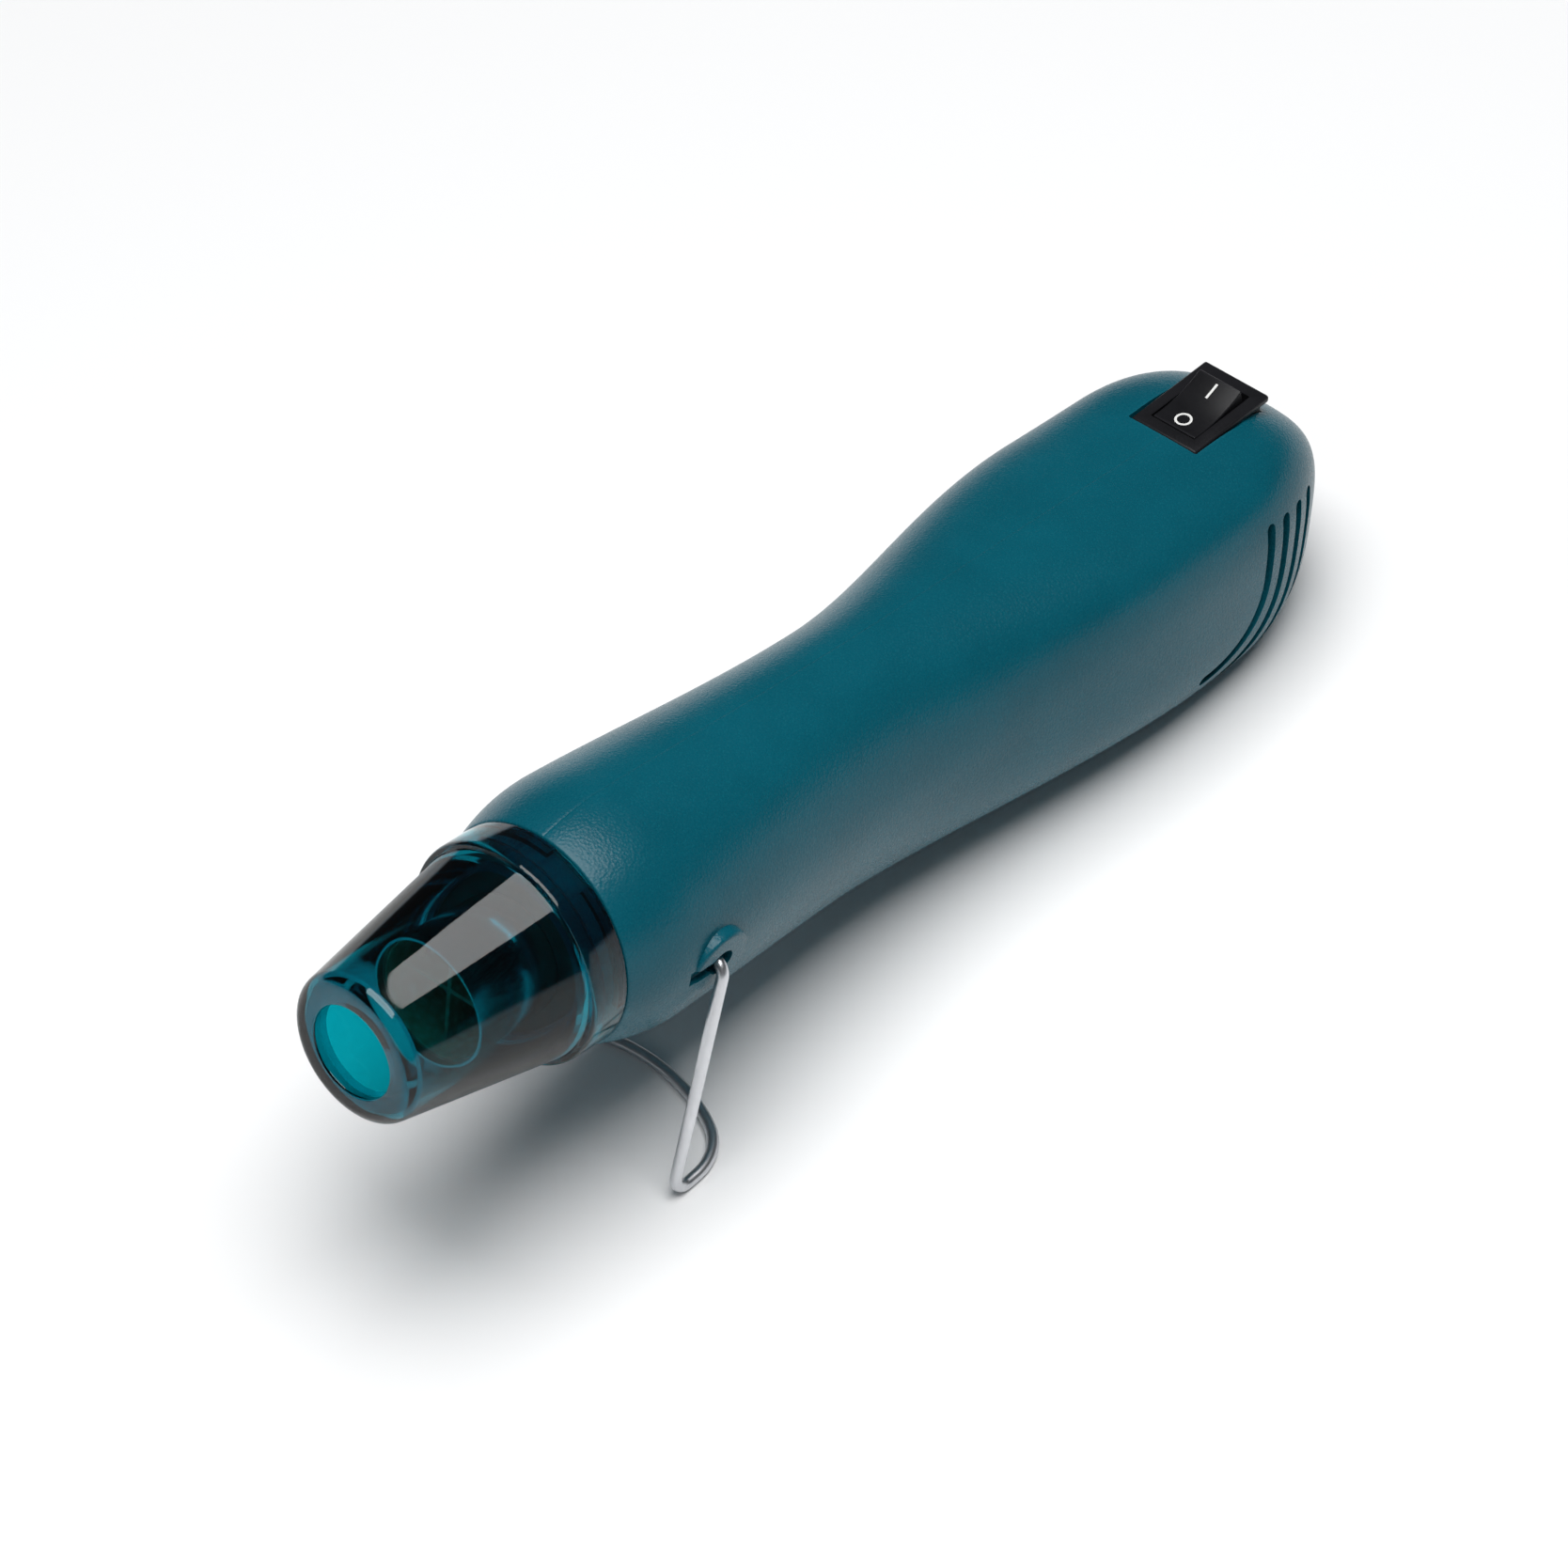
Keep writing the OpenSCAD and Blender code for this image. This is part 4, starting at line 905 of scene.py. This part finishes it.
def mica_sheet():
    """Pressed mica: pearly flakes in a pale brown sheet."""
    t = Surface("mica_sheet")
    flakes = t.cells(1.6, "SMOOTH_F1", t.stretched(1, 1, 0.7))
    speck = t.noise(0.5, 4)
    colour = t.blend(t.ranged(flakes, 0.1, 0.6, 0, 1), (0.52, 0.42, 0.27), (0.38, 0.29, 0.17))
    colour = t.blend(t.ranged(speck, 0.55, 0.7, 0, 0.5), colour, (0.68, 0.6, 0.45))
    t.wire(
        Base_Color=colour, Roughness=t.ranged(flakes, 0, 0.6, 0.28, 0.5),
        Normal=t.bump(flakes, 0.25, 0.08)
    )
    return t.mat


def winding_alloy():
    """Resistance wire, oxidised in straw and blue-grey bands."""
    t = Surface("winding_alloy")
    heat = t.noise(4.5, 3)
    fine = t.noise(0.3, 3)
    colour = t.blend(t.ranged(heat, 0.35, 0.65, 0, 1), (0.38, 0.33, 0.29), (0.2, 0.2, 0.24))
    t.wire(
        Base_Color=colour, Roughness=t.ranged(fine, 0.3, 0.7, 0.3, 0.5),
        Normal=t.bump(fine, 0.2, 0.03)
    )
    t.set(Metallic=1.0)
    return t.mat


def board_green():
    """Circuit board: solder mask over copper lanes."""
    t = Surface("board_green")
    lanes = t.add("ShaderNodeTexBrick")
    lanes.inputs["Scale"].default_value = 90
    lanes.inputs["Mortar Size"].default_value = 0.03
    t.link(t.place, lanes.inputs["Vector"])
    weave = t.noise(0.4, 2)
    colour = t.blend(lanes.outputs["Fac"], (0.02, 0.13, 0.05), (0.04, 0.2, 0.08))
    t.wire(
        Base_Color=colour, Roughness=t.ranged(weave, 0.3, 0.7, 0.3, 0.45),
        Normal=t.bump(weave, 0.15, 0.03)
    )
    return t.mat


MATERIALS = {
    "body_teal": body_teal(),
    "cap_tint": cap_tint(),
    "wire_steel": metal(
        "wire_steel", (0.58, 0.59, 0.61), (0.66, 0.67, 0.69), 0.36,
        streak=(1, 1, 0.12), size_mm=0.25, strength=0.03
    ),
    "switch_black": plastic(
        "switch_black", (0.006, 0.006, 0.007), (0.009, 0.009, 0.0105), 0.36,
        grain_mm=0.35, strength=0.14, wear_and_edge_highlight=(0.03, 0.03, 0.035), shine=0.18
    ),
    "contact_brass": metal("contact_brass", (0.7, 0.5, 0.22), (0.8, 0.6, 0.3), 0.3),
    "screw_steel": metal("screw_steel", (0.6, 0.6, 0.62), (0.72, 0.72, 0.74), 0.25),
    "tube_steel": metal(
        "tube_steel", (0.78, 0.77, 0.75), (0.88, 0.87, 0.85), 0.17,
        streak=(0.15, 1, 1), strength=0.02
    ),
    "mica_sheet": mica_sheet(),
    "winding_alloy": winding_alloy(),
    "collar_resin": plastic("collar_resin", (0.05, 0.045, 0.04), (0.075, 0.068, 0.06), 0.55),
    "duct_black": plastic("duct_black", (0.018, 0.018, 0.02), (0.026, 0.026, 0.028), 0.5),
    "fan_white": plastic("fan_white", (0.66, 0.66, 0.63), (0.74, 0.74, 0.71), 0.42),
    "motor_steel": metal(
        "motor_steel", (0.48, 0.48, 0.5), (0.6, 0.6, 0.62), 0.32, streak=(1, 0.2, 0.2)
    ),
    "board_green": board_green(),
    "diode_black": plastic("diode_black", (0.012, 0.012, 0.013), (0.02, 0.02, 0.021), 0.4),
    "capacitor_yellow": plastic("capacitor_yellow", (0.62, 0.42, 0.04), (0.7, 0.48, 0.06), 0.38),
    "bush_rubber": plastic(
        "bush_rubber", (0.012, 0.012, 0.013), (0.02, 0.02, 0.021), 0.6, grain_mm=0.6, strength=0.3
    ),
    "clamp_white": plastic(
        "clamp_white", (0.7, 0.7, 0.68), (0.78, 0.78, 0.76), 0.45, grain_mm=0.3, strength=0.08
    ),
}

NODE_SLOTS = {
    "left_shell": "body_teal", "right_shell": "body_teal", "nozzle_cap": "cap_tint",
    "wire_stand": "wire_steel", "switch_frame": "switch_black", "switch_rocker": "switch_black",
    "switch_contact": "contact_brass", "switch_plunger": "contact_brass",
    "switch_terminals": "contact_brass", "housing_screws": "screw_steel",
    "heater_tube": "tube_steel", "tube_liner": "mica_sheet", "mica_former": "mica_sheet",
    "heater_coil": "winding_alloy", "thermal_cutout": "motor_steel", "tube_collar": "collar_resin",
    "motor_can": "motor_steel", "motor_end_cap": "fan_white", "motor_terminals": "contact_brass",
    "motor_shaft": "motor_steel", "motor_screws": "screw_steel", "fan": "fan_white",
    "fan_duct": "duct_black", "rectifier_board": "board_green", "rectifier_diodes": "diode_black",
    "suppressor_capacitor": "capacitor_yellow", "cord_gland": "bush_rubber",
    "cord_clamp": "clamp_white", "clamp_screws": "screw_steel",
}


def dress_nodes():
    """Every solid that shows as it is gets its own slot's material."""
    for name, obj in NODES.items():
        mat = MATERIALS[NODE_SLOTS[name]]
        if not obj.data.materials:
            obj.data.materials.append(mat)
        for s in obj.material_slots:
            s.material = mat


dress_nodes()
finish_piece(shell_half("left"), "left_shell", "root", "body_teal")
finish_piece(shell_half("right"), "right_shell", "root", "body_teal")
finish_piece(nozzle_cap(), "nozzle_cap", "root", "cap_tint")
pivot = TOOL @ Vector((PIVOT_X, 0, PIVOT_Z))
upright = Matrix.Translation(pivot) @ Matrix.Scale(MM, 4)
finish_piece(wire_stand(), "wire_stand", "stand", "wire_steel", 60, upright)
finish_piece(switch_frame(), "switch_frame", "root", "switch_black")
finish_piece(switch_rocker(), "switch_rocker", "rocker", "switch_black")
finish_piece(bar_mark(), None, "rocker", "clamp_white")
finish_piece(ring_mark(), None, "rocker", "clamp_white")


# Studio

FLOOR_SIZE, SHADOW_REACH, WHITE_FROM = 6.0, 0.24, 0.7
HAZE_TOP, OVERHEAD, FILL = 0.07, 0.05, 0.08
COOL, WHITE, FLOOR_WHITE = (0.82, 0.91, 1), (1, 1, 1), (0.9, 0.9, 0.9, 1)


def floor():
    """Plain pale floor that keeps the object's shadow, and is plain white further off."""
    bm = bmesh.new()
    bmesh.ops.create_grid(bm, x_segments=8, y_segments=8, size=FLOOR_SIZE / 2)
    obj = from_bmesh("studio_floor", bm)
    mat = bpy.data.materials.new("studio_floor")
    t = Tree(mat)
    t.nodes.clear()
    matt = t.add("ShaderNodeBsdfDiffuse")
    matt.inputs["Color"].default_value = FLOOR_WHITE
    reach = t.add("ShaderNodeVectorMath", operation="LENGTH")
    t.link(t.add("ShaderNodeTexCoord").outputs["Object"], reach.inputs[0])
    away = t.ranged(reach.outputs["Value"], SHADOW_REACH, WHITE_FROM, 0, 1, "SMOOTHSTEP")
    pick = t.add("ShaderNodeMixShader")
    t.link(t.sums("MULTIPLY", away, t.seen_directly()), pick.inputs[0])
    t.link(matt.outputs[0], pick.inputs[1])
    t.link(t.add("ShaderNodeEmission").outputs[0], pick.inputs[2])
    t.link(pick.outputs[0], t.add("ShaderNodeOutputMaterial").inputs["Surface"])
    obj.data.materials.append(mat)


def world():
    """A pale studio: white to the camera and at the horizon, dim overhead, and a cool soft fill."""
    studio = bpy.data.worlds.new("studio")
    bpy.context.scene.world = studio
    t = Tree(studio)
    shade = t.nodes["Background"]
    height = t.add("ShaderNodeSeparateXYZ")
    t.link(t.add("ShaderNodeTexCoord").outputs["Generated"], height.inputs[0])
    sky = t.ranged(height.outputs["Z"], 0, HAZE_TOP, 1, OVERHEAD)
    from_camera = t.add("ShaderNodeLightPath").outputs["Is Camera Ray"]
    others = t.mixed(t.seen_directly(), FILL, sky)
    t.link(t.mixed(from_camera, others, 1.0), shade.inputs["Strength"])
    t.link(t.blend(from_camera, COOL, WHITE), shade.inputs["Color"])


def lamp(name, place, target, width, height, power, mirrored_in_gloss=True):
    """A soft lamp of given size in metres, facing target."""
    data = bpy.data.lights.new(name, "AREA")
    data.shape = "RECTANGLE"
    data.size, data.size_y = width, height
    data.energy = power
    obj = bpy.data.objects.new(name, data)
    obj.location = place
    obj.rotation_euler = (Vector(target) - Vector(place)).to_track_quat("-Z", "Y").to_euler()
    obj.visible_glossy = mirrored_in_gloss
    bpy.context.scene.collection.objects.link(obj)


def camera():
    """The photograph's view, found in the tool's frame: aim, distance, direction, roll and lens."""
    aim = Vector((106.287, 0, -2.017))
    distance, focal_px, width_px = 1219.58, 7500, 1668
    azimuth, elevation, roll = radians(-51.0135), radians(38.6297), radians(4.8866)
    back = Vector((sin(azimuth) * cos(elevation), -cos(azimuth) * cos(elevation), sin(elevation)))
    right = (-back).cross(Vector((0, 0, 1))).normalized()
    up = right.cross(-back)
    right_2 = cos(roll) * right + sin(roll) * up
    up_2 = cos(roll) * up - sin(roll) * right
    turn = Matrix((right_2, up_2, back)).transposed()
    data = bpy.data.cameras.new("view")
    data.sensor_fit = "HORIZONTAL"
    data.sensor_width = 36
    data.lens = data.sensor_width * focal_px / width_px
    data.clip_start, data.clip_end = 0.05, 50
    obj = bpy.data.objects.new("view", data)
    where = TOOL @ (aim + back * distance)
    obj.matrix_world = Matrix.Translation(where) @ (turn_down.to_3x3() @ turn).to_4x4()
    bpy.context.scene.collection.objects.link(obj)
    bpy.context.scene.camera = obj


floor()
world()
lamp("key", (-0.08, -0.12, 1.35), target=(-0.08, -0.12, 0), width=1.0, height=1.15, power=24)
lamp("side", (-1.0, -0.25, 0.75), target=(0, 0, 0.04), width=0.5, height=0.9, power=1.0,
     mirrored_in_gloss=False)
camera()
bpy.context.scene.view_settings.view_transform = "Standard"
